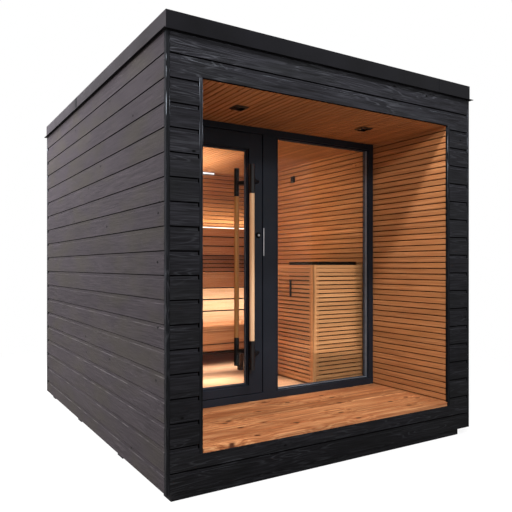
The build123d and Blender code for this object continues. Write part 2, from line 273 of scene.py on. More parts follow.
def woodMaterial(name, wood, along, depth):
    # sawn or planed boards seen on a face square to depth: streaks and growth lines run along the board,
    # knots lie scattered on it, and each board has its own shade and its own stretch of the pattern
    material, tree = newMaterial(name)
    across = 3 - along - depth

    def stretch(length, width):
        scale = [1 / width] * 3
        scale[along] = 1 / length
        return scale

    place = addNode(tree, "TexCoord")
    tall = addNode(tree, "SeparateXYZ", {0: (place, "Object")})
    tone = addNode(tree, "Attribute", attribute_name="boardTone")
    wornAndSheen = addNode(tree, "Attribute", attribute_name="edgeWearAndSheen")
    jump = addNode(tree, "VectorMath", {0: (tone, "Vector"), 1: (17.3, 9.1, 23.7)}, operation="MULTIPLY")
    moved = addNode(tree, "VectorMath", {0: (place, "Object"), 1: jump}, operation="ADD")
    # each noise with its length along the board, its width across it and its detail
    noises = {}
    for part, length, width, detail in (
            ("fibres", wood["streakLength"] * 0.4, wood["streakWidth"] * 0.3, 2.0),
            ("clouds", 1100 * mm, 350 * mm, 2.0), ("patches", 700 * mm, 120 * mm, 1.0),
            ("blotches", 500 * mm, 250 * mm, 2.0), ("sheenAndWearPatches", 120 * mm, 80 * mm, 3.0)):
        space = addNode(tree, "Mapping", {"Vector": moved, "Scale": stretch(length, width)})
        noises[part] = addNode(tree, "TexNoise", {"Vector": space, "Scale": 1.0, "Detail": detail})

    knotSpace = addNode(tree, "Mapping", {"Vector": moved, "Scale": stretch(wood["knotEvery"] * 1.6,
                                                                          wood["knotEvery"])})
    split = addNode(tree, "SeparateXYZ", {0: knotSpace})
    flat = addNode(tree, "CombineXYZ", {"X": (split, along), "Y": (split, across)})
    knots = addNode(tree, "TexVoronoi", {"Vector": flat, "Scale": 1.0}, voronoi_dimensions="2D")
    knotMask = addNode(tree, "MapRange", {0: (knots, "Distance"), 1: wood["knotSize"] * 0.5,
                                          2: wood["knotSize"], 3: 1.0, 4: 0.0})
    nearKnot = addNode(tree, "MapRange", {0: (knots, "Distance"), 1: wood["knotSize"],
                                          2: wood["knotSize"] * 5, 3: 1.0, 4: 0.0})
    # the streaks bend round the knots
    streakSpace = addNode(tree, "Mapping", {"Vector": moved, "Scale": stretch(wood["streakLength"],
                                                                            wood["streakWidth"])})
    bend = addNode(tree, "VectorMath", {0: nearKnot, 1: (1.6, 1.6, 1.6)}, operation="MULTIPLY")
    bent = addNode(tree, "VectorMath", {0: streakSpace, 1: bend}, operation="ADD")
    streaks = addNode(tree, "TexNoise", {"Vector": bent, "Scale": 1.0, "Detail": 3.0, "Roughness": 0.6,
                                         "Distortion": 0.3})
    # growth lines are the contour lines of a slow noise, which closes them into a flat-sawn board's arches
    growthSpace = addNode(tree, "Mapping", {"Vector": moved, "Scale": stretch(wood["lineLength"] * 4,
                                                                            wood["lineSpacing"] * 4)})
    growth = addNode(tree, "TexNoise", {"Vector": growthSpace, "Scale": 1.0, "Detail": 1.5,
                                        "Roughness": 0.4, "Distortion": 0.2})
    rings = addNode(tree, "Math", {0: (growth, "Fac"), 1: 9.0}, operation="MULTIPLY")
    contour = addNode(tree, "Math", {0: rings, 1: 0.5}, operation="PINGPONG")

    grain = addNode(tree, "ValToRGB", {"Fac": (streaks, "Fac")})
    setRamp(grain, (0.32, linear(wood["dark"])), (0.5, linear(wood["middle"])), (0.7, linear(wood["light"])))
    stainMask = addNode(tree, "MapRange", {0: (noises["blotches"], "Fac"), 1: 0.45, 2: 0.65,
                                           3: 0.0, 4: wood["stainShare"]})
    stained = addNode(tree, "Mix", {0: stainMask, 6: (grain, "Color"), 7: linear(wood["stain"])},
                      data_type="RGBA")
    # from fibre to wall: what makes one spot darker or lighter than the next; the last row is painted light,
    # which draws the top of a wall lighter
    shade = 1.0
    for source, low, high, darkest, lightest in (
            ((noises["fibres"], "Fac"), 0.25, 0.75, 1 - wood["fineContrast"], 1 + wood["fineContrast"]),
            ((tone, "Fac"), 0.0, 1.0, 1 - wood["boardContrast"], 1 + wood["boardContrast"]),
            ((noises["clouds"], "Fac"), 0.25, 0.75, 1 - wood["cloudContrast"], 1 + wood["cloudContrast"]),
            ((tall, "Z"), 0.2, 2.5, 1 - wood["paintedTopLight"], 1 + wood["paintedTopLight"] * 1.2)):
        factor = addNode(tree, "MapRange", {0: source, 1: low, 2: high, 3: darkest, 4: lightest})
        shade = addNode(tree, "Math", {0: shade, 1: factor}, operation="MULTIPLY")
    shaded = addNode(tree, "VectorMath", {0: (stained, 2), "Scale": shade}, operation="SCALE")

    # masks, each the product of its parts
    # the line mask and the edge mask grow over one band of the wall's height: a painted sheen where the light
    # falls; the edge mask lightens eased edges, partly real wear of the stain, partly a painted highlight
    sheenAndWearHeight = addNode(tree, "MapRange", {0: (tall, "Z"), 1: wood["sheenAndWearFrom"], 2: wood["sheenAndWearTo"],
                                           3: 0.0, 4: 1.0})
    lineMask, wearAndSheenMask = 1.0, (wornAndSheen, "Fac")
    for source, low, high, least, most in ((contour, 0.0, 0.2, wood["lineStrength"], 0.0),
                                           ((noises["patches"], "Fac"), 0.42, 0.62, 0.1, 1.0),
                                           (sheenAndWearHeight, 0.0, 1.0, 0.4, 1.0)):
        part = addNode(tree, "MapRange", {0: source, 1: low, 2: high, 3: least, 4: most})
        lineMask = addNode(tree, "Math", {0: lineMask, 1: part}, operation="MULTIPLY")
    sheenAndWearPatches = addNode(tree, "MapRange", {0: (noises["sheenAndWearPatches"], "Fac"), 1: 0.45, 2: 0.62,
                                        3: 0.0, 4: wood["wear"]})
    for part in (sheenAndWearHeight, sheenAndWearPatches):
        wearAndSheenMask = addNode(tree, "Math", {0: wearAndSheenMask, 1: part}, operation="MULTIPLY")
    colour = shaded
    for mask, hexCode in ((lineMask, wood["line"]), (wearAndSheenMask, wood["wornAndSheen"]), (knotMask, wood["knot"])):
        layer = addNode(tree, "Mix", {0: mask, 6: colour, 7: linear(hexCode)}, data_type="RGBA")
        colour = (layer, 2)

    height = (streaks, "Fac")
    for part in ((noises["fibres"], "Fac"), lineMask):
        height = addNode(tree, "Math", {0: height, 1: part}, operation="ADD")
    bump = addNode(tree, "Bump", {"Height": height, "Strength": wood["bump"], "Distance": wood["bumpDepth"]})
    rough = addNode(tree, "MapRange", {0: (streaks, "Fac"), 3: wood["roughness"] - 0.1,
                                       4: wood["roughness"] + 0.1})
    shader = addNode(tree, "BsdfPrincipled", {"Base Color": colour, "Roughness": rough, "Normal": bump,
                                              "IOR": 1.5, "Specular IOR Level": wood["shine"]})
    addNode(tree, "OutputMaterial", {"Surface": shader})
    return material


def coatedMaterial(name, coat):
    # a painted, coated or felted face: one colour with a fine mottling and a slight unevenness of its skin
    material, tree = newMaterial(name)
    place = addNode(tree, "TexCoord")
    peel = addNode(tree, "TexNoise", {"Vector": (place, "Object"), "Scale": 1 / coat["peelSize"],
                                      "Detail": 2.0})
    mottle = addNode(tree, "TexNoise", {"Vector": (place, "Object"), "Scale": 1 / coat["mottleSize"],
                                        "Detail": 3.0})
    colour = addNode(tree, "ValToRGB", {"Fac": (mottle, "Fac")})
    setRamp(colour, (0.3, linear(coat["dark"])), (0.7, linear(coat["light"])))
    rough = addNode(tree, "MapRange", {0: (mottle, "Fac"), 3: coat["roughness"] - 0.05,
                                       4: coat["roughness"] + 0.07})
    bump = addNode(tree, "Bump", {"Height": (peel, "Fac"), "Strength": coat["bump"], "Distance": 0.4 * mm})
    shader = addNode(tree, "BsdfPrincipled", {"Base Color": (colour, "Color"), "Roughness": rough,
                                              "Normal": bump, "Metallic": coat.get("metallic", 0.0),
                                              "IOR": 1.5, "Specular IOR Level": coat["shine"]})
    addNode(tree, "OutputMaterial", {"Surface": shader})
    return material


def lampMaterial(name, hexCode, strength):
    # opal diffuser over a row of diodes, with a faint unevenness of the light along it
    material, tree = newMaterial(name)
    place = addNode(tree, "TexCoord")
    ripple = addNode(tree, "TexNoise", {"Vector": (place, "Object"), "Scale": 30.0, "Detail": 0.0})
    glow = addNode(tree, "MapRange", {0: (ripple, "Fac"), 3: strength * 0.92, 4: strength * 1.08})
    shader = addNode(tree, "BsdfPrincipled", {"Base Color": linear("#f4efe4"), "Roughness": 0.4,
                                              "Emission Color": linear(hexCode), "Emission Strength": glow})
    addNode(tree, "OutputMaterial", {"Surface": shader})
    return material


def glassMaterial(name, glass):
    # clear float glass: the camera sees its slight tint and gloss, and lamp light passes through it
    material, tree = newMaterial(name)
    place = addNode(tree, "TexCoord")
    wave = addNode(tree, "TexNoise", {"Vector": (place, "Object"), "Scale": 1.5, "Detail": 0.0})
    rough = addNode(tree, "MapRange", {0: (wave, "Fac"), 3: 0.0, 4: glass["roughness"]})
    pane = addNode(tree, "BsdfPrincipled", {"Base Color": linear(glass["tint"]), "Roughness": rough,
                                            "IOR": glass["ior"], "Transmission Weight": 1.0,
                                            "Specular IOR Level": glass["shine"]})
    clear = addNode(tree, "BsdfTransparent", {"Color": linear(glass["tint"])})
    ray = addNode(tree, "LightPath")
    either = addNode(tree, "Math", {0: (ray, "Is Shadow Ray"), 1: (ray, "Is Diffuse Ray")},
                     operation="MAXIMUM")
    mix = addNode(tree, "MixShader", {0: either, 1: pane, 2: clear})
    addNode(tree, "OutputMaterial", {"Surface": mix})
    return material


# woods: streaks and lines have a length along the board and a width or spacing across it; a knot's size is a
# share of the space between knots; the lighter edges, partly wear and partly a painted highlight, grow from
# the first of their two heights to the second, and fade where the second is the lower one; the share that
# lightens a wall's top is painted light: how much lighter the top is drawn, for the light that falls there

# fine-sawn spruce under a black translucent stain: nearly black, with its growth lines as lighter ripples.
# The lines are drawn about three times as coarse as in real spruce, or they would not show at all; towards
# the top they show stronger and the top is drawn lighter: painted sheen and light
stainedSpruce = {"dark": "#101012", "middle": "#18181b", "light": "#212125", "knot": "#060607",
                 "line": "#5a5c62", "lineStrength": 0.36, "lineSpacing": 9 * mm, "lineLength": 120 * mm,
                 "wornAndSheen": "#7f868f", "wear": 0.6, "sheenAndWearFrom": 1.9, "sheenAndWearTo": 2.5, "paintedTopLight": 0.2,
                 "stain": "#161718", "stainShare": 0.6, "streakLength": 280 * mm, "streakWidth": 8 * mm,
                 "knotEvery": 420 * mm, "knotSize": 0.022, "fineContrast": 0.42, "boardContrast": 0.14,
                 "cloudContrast": 0.14, "roughness": 0.6, "shine": 0.06, "bump": 0.5, "bumpDepth": 1.2 * mm}
# the same boards on the long sides, drawn lighter, a purple brown with greenish patches: the lightness is a
# painted sheen of the sky on this side; low down their eased upper edges catch the sky, and the painted
# highlight on them fades with height
sheenLitSpruce = dict(stainedSpruce, dark="#201d20", middle="#272427", light="#2e2a2d", stain="#2a2822",
                    stainShare=0.45, line="#464246", lineStrength=0.2, wornAndSheen="#5f5c5c", wear=0.75,
                    sheenAndWearFrom=1.4, sheenAndWearTo=0.7, paintedTopLight=0.06, fineContrast=0.16, boardContrast=0.06,
                    cloudContrast=0.10)
# the trims stand on their end grain and have drunk more stain; their eased edges are lighter at the top,
# partly where the stain has rubbed off and partly a painted highlight, and their tops are painted lighter for
# the light that falls there
trimSpruce = dict(stainedSpruce, dark="#0c0d0f", middle="#121316", light="#1a1b1f", stain="#0f1012",
                  paintedTopLight=0.3, wear=0.8, sheenAndWearFrom=1.75, sheenAndWearTo=2.35)
# heat-treated alder, planed: warm red-brown with a soft even grain and few knots
thermoAlder = {"dark": "#96613c", "middle": "#aa7248", "light": "#bc8457", "knot": "#6e4020",
               "line": "#8e5937", "lineStrength": 0.35, "lineSpacing": 9 * mm, "lineLength": 120 * mm,
               "wornAndSheen": "#bb8958", "wear": 0.4, "sheenAndWearFrom": -1.0, "sheenAndWearTo": -0.4, "paintedTopLight": 0.0,
               "stain": "#a56e41", "stainShare": 0.5, "streakLength": 500 * mm, "streakWidth": 9 * mm,
               "knotEvery": 900 * mm, "knotSize": 0.008, "fineContrast": 0.16, "boardContrast": 0.12,
               "cloudContrast": 0.07, "roughness": 0.55, "shine": 0.15, "bump": 0.2, "bumpDepth": 0.6 * mm}
# oiled pine decking: orange-tan with brown knots and clear growth lines; they are drawn about three times
# too wide, because lines of the true width would be lost at this distance
oiledPine = {"dark": "#7a4224", "middle": "#ab7047", "light": "#d09c6e", "knot": "#4a2614",
             "line": "#7e4526", "lineStrength": 0.42, "lineSpacing": 22 * mm, "lineLength": 420 * mm,
             "wornAndSheen": "#c58b5b", "wear": 0.4, "sheenAndWearFrom": -1.0, "sheenAndWearTo": -0.4, "paintedTopLight": 0.0,
             "stain": "#9a5c38", "stainShare": 0.5, "streakLength": 900 * mm, "streakWidth": 20 * mm,
             "knotEvery": 210 * mm, "knotSize": 0.088, "fineContrast": 0.38, "boardContrast": 0.16,
             "cloudContrast": 0.25, "roughness": 0.5, "shine": 0.2, "bump": 0.25, "bumpDepth": 0.8 * mm}
# planed aspen benches, a shade lighter than the walls so that they glow in the strip light
planedAspen = {"dark": "#a87046", "middle": "#be8456", "light": "#cf996c", "knot": "#7c4a28",
               "line": "#a66c42", "lineStrength": 0.4, "lineSpacing": 12 * mm, "lineLength": 160 * mm,
               "wornAndSheen": "#d6a77c", "wear": 0.4, "sheenAndWearFrom": -1.0, "sheenAndWearTo": -0.4, "paintedTopLight": 0.0,
               "stain": "#b87c50", "stainShare": 0.4, "streakLength": 600 * mm, "streakWidth": 10 * mm,
               "knotEvery": 800 * mm, "knotSize": 0.008, "fineContrast": 0.12, "boardContrast": 0.13,
               "cloudContrast": 0.06, "roughness": 0.5, "shine": 0.15, "bump": 0.15, "bumpDepth": 0.5 * mm}
# scrubbed floor boards, paler than the benches
scrubbedAspen = dict(planedAspen, dark="#b48360", middle="#c4936d", light="#d2a37c", line="#ab7a55",
                     stain="#ba8a64")
# the risers' aspen drawn paler: painted light of the strip that shines on them
paintedLitAspen = dict(planedAspen, dark="#cf9c70", middle="#dcac80", light="#e8bd94", line="#c8946a",
                    stain="#d8a67a", knot="#a8744c")
# the bench frames are drawn darker than the boards on them: painted shade, for they stand in shade
paintedShadeAspen = dict(planedAspen, dark="#2c190f", middle="#351f13", light="#402718", wornAndSheen="#4c2f1e",
                    stain="#301c11")
# the door's grips: aspen that hands have oiled, the outer one pale, the inner one browned by the heat
oiledGrip = dict(paintedLitAspen, dark="#dfae80", middle="#e9bf94", light="#f2cea8", line="#d3a074",
                 stain="#e2b488")
brownedGrip = dict(planedAspen, dark="#cc8347", middle="#da9456", light="#e7a66a", line="#bd7840",
                   stain="#ce874b")

# the first number is the axis that the boards run along, the second the one that their faces look along
spruceAlongX = woodMaterial("stainedSpruceAlongX", stainedSpruce, 0, 1)
spruceAlongY = woodMaterial("sheenLitSpruceAlongY", sheenLitSpruce, 1, 0)
spruceUpright = woodMaterial("blackStainedSpruceUpright", trimSpruce, 2, 1)
alderWallX = woodMaterial("thermoAlderRearWall", thermoAlder, 0, 1)
alderWallY = woodMaterial("thermoAlderSideWalls", thermoAlder, 1, 0)
alderCeiling = woodMaterial("thermoAlderCeiling", thermoAlder, 1, 2)
pineDeck = woodMaterial("oiledPineDecking", oiledPine, 0, 2)
aspenFloor = woodMaterial("scrubbedAspenFloor", scrubbedAspen, 0, 2)
aspenAlongX = woodMaterial("planedAspenAlongX", planedAspen, 0, 1)
aspenAlongY = woodMaterial("planedAspenAlongY", planedAspen, 1, 0)
aspenUpright = woodMaterial("planedAspenUpright", planedAspen, 2, 1)
paintedLitAspenX = woodMaterial("paintedLitAspenAlongX", paintedLitAspen, 0, 1)
paintedShadeUpright = woodMaterial("paintedShadeAspenUpright", paintedShadeAspen, 2, 1)
gripOutside = woodMaterial("handOiledAspenUpright", oiledGrip, 2, 1)
gripInside = woodMaterial("heatBrownedAspenUpright", brownedGrip, 2, 1)

# anthracite paint on the door set, satin, so that its edges catch a soft line of light
anthracitePaint = coatedMaterial("anthracitePaint", {
    "dark": "#191d24", "light": "#20242c", "peelSize": 4 * mm, "mottleSize": 350 * mm,
    "roughness": 0.45, "bump": 0.12, "shine": 0.15})
# folded steel sheet with a matt black coating: almost no gloss, and a faint waviness from the folding
coatedSteel = coatedMaterial("coatedSteelSheet", {
    "dark": "#0b0b0d", "light": "#101013", "peelSize": 3 * mm, "mottleSize": 250 * mm,
    "roughness": 0.5, "bump": 0.1, "shine": 0.08})
# the same coat drawn greyer on the long sides, a painted sheen of the light they catch, with a duller skin
sheenLitSteel = coatedMaterial("sheenLitSheetSteel", {
    "dark": "#201e20", "light": "#29272a", "peelSize": 4 * mm, "mottleSize": 250 * mm,
    "roughness": 0.6, "bump": 0.1, "shine": 0.1})
# black powder coat on handles, hinges and lamps: a soft gloss broken by a fine orange peel
blackPowder = coatedMaterial("blackPowderCoat", {
    "dark": "#0c0c0e", "light": "#131315", "peelSize": 2 * mm, "mottleSize": 80 * mm,
    "roughness": 0.32, "bump": 0.15, "shine": 0.4})
# heat-resistant black sprayed on the heater casing: dead matt
stovePaint = coatedMaterial("stovePaint", {
    "dark": "#0e0e0f", "light": "#161617", "peelSize": 2 * mm, "mottleSize": 100 * mm,
    "roughness": 0.6, "bump": 0.1, "shine": 0.2})
# ground stainless steel of the lock cylinder and the strike: a broad soft glint
satinSteel = coatedMaterial("satinStainless", {
    "dark": "#a9aaad", "light": "#c4c5c8", "peelSize": 1 * mm, "mottleSize": 20 * mm,
    "roughness": 0.35, "bump": 0.05, "shine": 0.5, "metallic": 1.0})
# anodised aluminium glazing beads: dull pale grey that stands out against the paint
greyAnodised = coatedMaterial("anodisedAluminium", {
    "dark": "#727983", "light": "#838a94", "peelSize": 1.5 * mm, "mottleSize": 50 * mm,
    "roughness": 0.4, "bump": 0.05, "shine": 0.4, "metallic": 0.1})
# mill-finish steel spacer between the panes: dull grey, dulled further by the sealant on it
spacerSteel = coatedMaterial("spacerSteel", {
    "dark": "#46464c", "light": "#56565c", "peelSize": 2 * mm, "mottleSize": 50 * mm,
    "roughness": 0.55, "bump": 0.05, "shine": 0.2})
# single-ply membrane on the flat roof: charcoal rubber with a chalky, slightly pebbled skin
roofMembrane = coatedMaterial("roofMembrane", {
    "dark": "#2c2d2f", "light": "#3a3b3d", "peelSize": 3 * mm, "mottleSize": 500 * mm,
    "roughness": 0.8, "bump": 0.3, "shine": 0.2})
# dark breather paper over the cores of the walls, floor and roof: black and without gloss
wallCore = coatedMaterial("breatherPaper", {
    "dark": "#161616", "light": "#202020", "peelSize": 3 * mm, "mottleSize": 200 * mm,
    "roughness": 0.85, "bump": 0.2, "shine": 0.1})
# moulded black cover of the lock cylinder: matt, darker than the powder coat round it
jetPlastic = coatedMaterial("jetPlastic", {
    "dark": "#050506", "light": "#08080a", "peelSize": 2 * mm, "mottleSize": 30 * mm,
    "roughness": 0.7, "bump": 0.1, "shine": 0.1})
# a brown sheet behind the slats: painted shade that leaves their gaps dark
slatGapShade = coatedMaterial("brownWoolFelt", {
    "dark": "#482a18", "light": "#573420", "peelSize": 2 * mm, "mottleSize": 50 * mm,
    "roughness": 0.95, "bump": 0.3, "shine": 0.05})
# the same sheet deep behind the room's slats and joints, in a darker brown: deeper painted shade
deepGapShade = coatedMaterial("darkBrownWoolFelt", {
    "dark": "#170d08", "light": "#1f120b", "peelSize": 2 * mm, "mottleSize": 50 * mm,
    "roughness": 0.95, "bump": 0.3, "shine": 0.05})
# painted shade for a board's grooves and for the ends in its notches: nearly black, without any sheen
paintedGrooveShade = coatedMaterial("paintedGrooveShadeBlack", {
    "dark": "#040405", "light": "#08080a", "peelSize": 3 * mm, "mottleSize": 30 * mm,
    "roughness": 0.9, "bump": 0.3, "shine": 0.05})
# split olivine stones on the heater: rough, grey and dusty
heaterStone = coatedMaterial("olivineStone", {
    "dark": "#2b2a29", "light": "#4a4846", "peelSize": 4 * mm, "mottleSize": 30 * mm,
    "roughness": 0.85, "bump": 0.8, "shine": 0.2})
# opal covers of the light strips, warm white, and of the lamp on the rear wall, cool white
warmStrip = lampMaterial("warmStripDiffuser", "#fff0d8", 2.2)
coolLamp = lampMaterial("wallLampDiffuser", "#f4f6ff", 1.6)
clearGlass = glassMaterial("clearFloatGlass", {"tint": "#f6f8f8", "roughness": 0.01, "ior": 1.12,
                                               "shine": 0.5})
print("materials made")


# camera at the photograph's viewpoint

view = {"lens": 39.71, "place": (-2.4279, -4.3340, 1.2737), "turn": -31.76, "shiftUp": 10 / 512}
bpy.ops.object.camera_add(location=view["place"], rotation=(math.radians(90), 0, math.radians(view["turn"])))
camera = bpy.context.object
camera.data.lens = view["lens"]
camera.data.sensor_width = 36
camera.data.shift_y = view["shiftUp"]
bpy.context.scene.camera = camera


# outer cladding

# a slot is given by its height and depth: wide on the front, narrow and deep on the long sides and the back
cladding = {"pitch": 133.8 * mm, "firstJoint": 155 * mm, "thickness": 22 * mm, "rebateFoot": 23 * mm,
            "rebateDepth": 3.5 * mm, "frontSlot": (8 * mm, 10 * mm), "longSlot": (5 * mm, 19 * mm),
            "notchWidth": 8 * mm, "rearNotch": 30 * mm, "notchHeight": 26 * mm, "wear": 0.35}


def courses(low, high):
    # heights of the boards between two levels, with the number of the course that each belongs to
    edges = [low]
    joint = cladding["firstJoint"]
    while joint < high - mm:
        if joint > low + mm:
            edges.append(joint)
        joint += cladding["pitch"]
    edges.append(high)
    for z0, z1 in zip(edges, edges[1:]):
        number = math.floor(((z0 + z1) / 2 - cladding["firstJoint"]) / cladding["pitch"])
        yield number, z0, z1


def facing(x, y, degrees):
    # brings a piece that faces -Y at the origin to its place, turned about Z
    return Matrix.Translation((x, y, 0)) @ Matrix.Rotation(math.radians(degrees), 4, "Z")


def shapeBoard(length, height, lipped, slot):
    # face at y = 0, running along +X; its top has a shallow rebate and a deep slot under the next board
    board = startBlock("board", (0, 0, 0), (length, cladding["thickness"], height))
    if lipped:
        rebate = height - cladding["rebateFoot"]
        slotHeight, slotDepth = slot
        slotFoot = height - slotHeight
        for place in (rebate - cladding["rebateDepth"], rebate, slotFoot, slotFoot + mm / 2):
            cutAcross(board, 2, place)
        shift(board, (0, cladding["rebateDepth"], 0),
              lambda spot, normal: spot.y < mm and spot.z > rebate - mm / 10)
        shift(board, (0, slotDepth - cladding["rebateDepth"], 0),
              lambda spot, normal: spot.y < 5 * mm and spot.z > slotFoot + mm / 4)
        # the slanted faces are drawn lighter: a painted highlight of the light that these eased edges catch
        markWorn(board, slanted, cladding["wear"])
    return board


def layBoards(side, placeAt, x0, x1, low, high, notch=None, slot=cladding["longSlot"]):
    # placeAt turns a board that faces -Y onto its wall; notch says at which end the groove runs out
    laid = []
    templates = {}
    for number, z0, z1 in courses(low, high):
        lipped = z1 < high - mm / 10
        tone = toneFor(side, number)
        spans = [(x0, x1, z0, z1, lipped)]
        if lipped and notch == "right":
            spans = [(x0, x1 - cladding["notchWidth"], z0, z1, True),
                     (x1 - cladding["notchWidth"], x1, z0, z1 - cladding["notchHeight"], False)]
        if lipped and notch == "left":
            spans = [(x0 + cladding["rearNotch"], x1, z0, z1, True),
                     (x0, x0 + cladding["rearNotch"], z0, z1 - cladding["notchHeight"], False)]
        for a, b, c, d, lip in spans:
            key = (round(b - a, 5), round(d - c, 5), lip)
            if key not in templates:
                templates[key] = shapeBoard(b - a, d - c, lip, slot)
            laid.append(copyTo(templates[key], placeAt @ Matrix.Translation((a, 0, c)), tone))
    discard(*templates.values())
    return laid


def coatFaces(piece, material, test):
    # gives the faces that pass the test a second material
    piece.data.materials.append(material)
    for face in piece.data.polygons:
        face.material_index = 1 if test(face.center, face.normal) else 0


def inGroove(depth):
    # how far a face lies behind the boards' faces says whether it belongs to a slot or a notch
    return cladding["rebateDepth"] + mm < depth < cladding["thickness"] - mm


headerLow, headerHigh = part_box("front_header")
sillLow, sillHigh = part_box("front_sill")
openLow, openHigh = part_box("opening_trims")
columnLow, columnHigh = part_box("front_columns")
sideLow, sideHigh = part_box("side_cladding")
backLow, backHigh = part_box("back_cladding")

onFront = facing(0, headerLow.y, 0)
frontSlot = cladding["frontSlot"]
frontBoards = layBoards("front", onFront, sillLow.x, sillHigh.x, sillLow.z, sillHigh.z, None, frontSlot)
frontBoards += layBoards("front", onFront, headerLow.x, headerHigh.x, headerLow.z, headerHigh.z,
                         "right", frontSlot)
for name, x0, x1 in (("frontLeft", columnLow.x, openLow.x), ("frontRight", openHigh.x, columnHigh.x)):
    frontBoards += layBoards(name, onFront, x0, x1, columnLow.z, columnHigh.z, "right", frontSlot)
frontCladding = joinAs("frontBoards", frontBoards)
finish(frontCladding, spruceAlongX, "cabin", "black_timber", "front_columns", "front_header", "front_sill")
# the faces in the slots and notches get painted shade
coatFaces(frontCladding, paintedGrooveShade, lambda middle, normal: inGroove(middle.y - headerLow.y))

sideLong = sideHigh.y - sideLow.y
sideBoards = layBoards("left", facing(sideLow.x, sideHigh.y, -90), 0, sideLong, sideLow.z, sideHigh.z, "left")
sideBoards += layBoards("right", facing(sideHigh.x, sideLow.y, 90), 0, sideLong, sideLow.z, sideHigh.z,
                        "right")
sideCladding = joinAs("sideBoards", sideBoards)
finish(sideCladding, spruceAlongY, "cabin", "black_timber", "side_cladding")
# the other faces in the slots and notches get painted shade; the slots' floors stay grey here, because the
# sky lights them
coatFaces(sideCladding, paintedGrooveShade,
          lambda middle, normal: normal.z < 0.5 and inGroove(sideHigh.x - abs(middle.x)))

backBoards = layBoards("back", facing(backHigh.x, backHigh.y, 180), 0, backHigh.x - backLow.x,
                       backLow.z, backHigh.z, "right")
backCladding = joinAs("backBoards", backBoards)
finish(backCladding, spruceAlongX, "cabin", "black_timber", "back_cladding")
# the faces in the slots and notches get painted shade
coatFaces(backCladding, paintedGrooveShade, lambda middle, normal: inGroove(backHigh.y - middle.y))

trimBoards = {"wide": cladding["thickness"], "cornerDeep": 28 * mm, "edge": 2.5 * mm, "wear": 1.6}


def trimPosts(name, boxes, material, slotName, *standsFor):
    # square-edged battens with their long edges eased
    posts = []
    for number, (low, high) in enumerate(boxes):
        post = startBlock("post", low, high)
        bevelEdges(post, trimBoards["edge"], 1, lambda middle, way: abs(way.z) > 0.9)
        # the eased edges are drawn lighter towards the top: partly stain rubbed off, partly a painted
        # highlight
        markWorn(post, slanted, trimBoards["wear"])
        setTone(post, toneFor(name, number))
        posts.append(post)
    return finish(joinAs(name, posts), material, "cabin", slotName, *standsFor)


cornerLow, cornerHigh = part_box("corner_trims")
wide, deep = trimBoards["wide"], trimBoards["cornerDeep"]
cornerBoxes = []
for x0, x1 in ((cornerLow.x, cornerLow.x + wide), (cornerHigh.x - wide, cornerHigh.x)):
    for y0, y1 in ((cornerLow.y, cornerLow.y + deep), (cornerHigh.y - deep, cornerHigh.y)):
        cornerBoxes.append(((x0, y0, cornerLow.z), (x1, y1, cornerHigh.z)))
trimPosts("cornerPosts", cornerBoxes, spruceUpright, "black_timber", "corner_trims")
openingBoxes = [((x0, openLow.y, openLow.z), (x0 + wide, openHigh.y, openHigh.z))
                for x0 in (openLow.x, openHigh.x - wide)]
openingPosts = trimPosts("openingPosts", openingBoxes, spruceUpright, "black_timber", "opening_trims")
# the posts' sides that meet the board ends get painted shade, seen through the notches
coatFaces(openingPosts, paintedGrooveShade,
          lambda middle, normal: abs(middle.x - openLow.x) < mm or abs(middle.x - openHigh.x) < mm)
print("cladding laid")


# slatted linings

slats = {"pitch": 45 * mm, "face": 37 * mm, "thickness": 20 * mm, "gapShadeSheet": 6 * mm, "edge": 1.5 * mm,
         "grid": -0.5 * mm}


def slatSheet(name, placeAt, length, low, high):
    # slats that face -Y and run along +X, stacked in +Z on the grid, and the dark sheet behind their gaps,
    # which is painted shade
    slat = startBlock("slat", (0, 0, 0), (length, slats["thickness"] - slats["gapShadeSheet"], slats["face"]))
    bevelEdges(slat, slats["edge"], 1, lambda middle, way: abs(way.x) > 0.9 and middle.y < mm)
    copies = []
    number = math.floor((low - slats["grid"]) / slats["pitch"] + 0.001)
    while slats["grid"] + number * slats["pitch"] < high - mm:
        z0 = slats["grid"] + number * slats["pitch"]
        if z0 + slats["face"] > low + mm:
            twin = copyTo(slat, Matrix.Translation((0, 0, z0)), toneFor(name, number))
            if z0 < low - mm / 10:
                trimTo(twin, 2, low, keepBelow=False)
            if z0 + slats["face"] > high + mm / 10:
                trimTo(twin, 2, high)
            twin.data.transform(placeAt)
            copies.append(twin)
        number += 1
    discard(slat)
    gapShadeSheet = startBlock("gapShadeSheet", (0, slats["thickness"] - slats["gapShadeSheet"], low),
                      (length, slats["thickness"], high))
    gapShadeSheet.data.transform(placeAt)
    return copies, [gapShadeSheet]


def ceilingSheet(name, low, high):
    # slats along Y that face down: a wall sheet laid flat, so that its X becomes Y and its Z becomes X
    sheet, gapShadeSheet = slatSheet(name, Matrix.Identity(4), high.y - low.y, 0, high.x - low.x)
    lay = Matrix(((0, 0, 1, low.x), (1, 0, 0, low.y), (0, 1, 0, low.z), (0, 0, 0, 1)))
    for twin in sheet + gapShadeSheet:
        twin.data.transform(lay)
    return sheet, gapShadeSheet


porchLow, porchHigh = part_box("porch_linings")
roomLow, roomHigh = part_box("room_linings")
thick = slats["thickness"]
sheets = {}
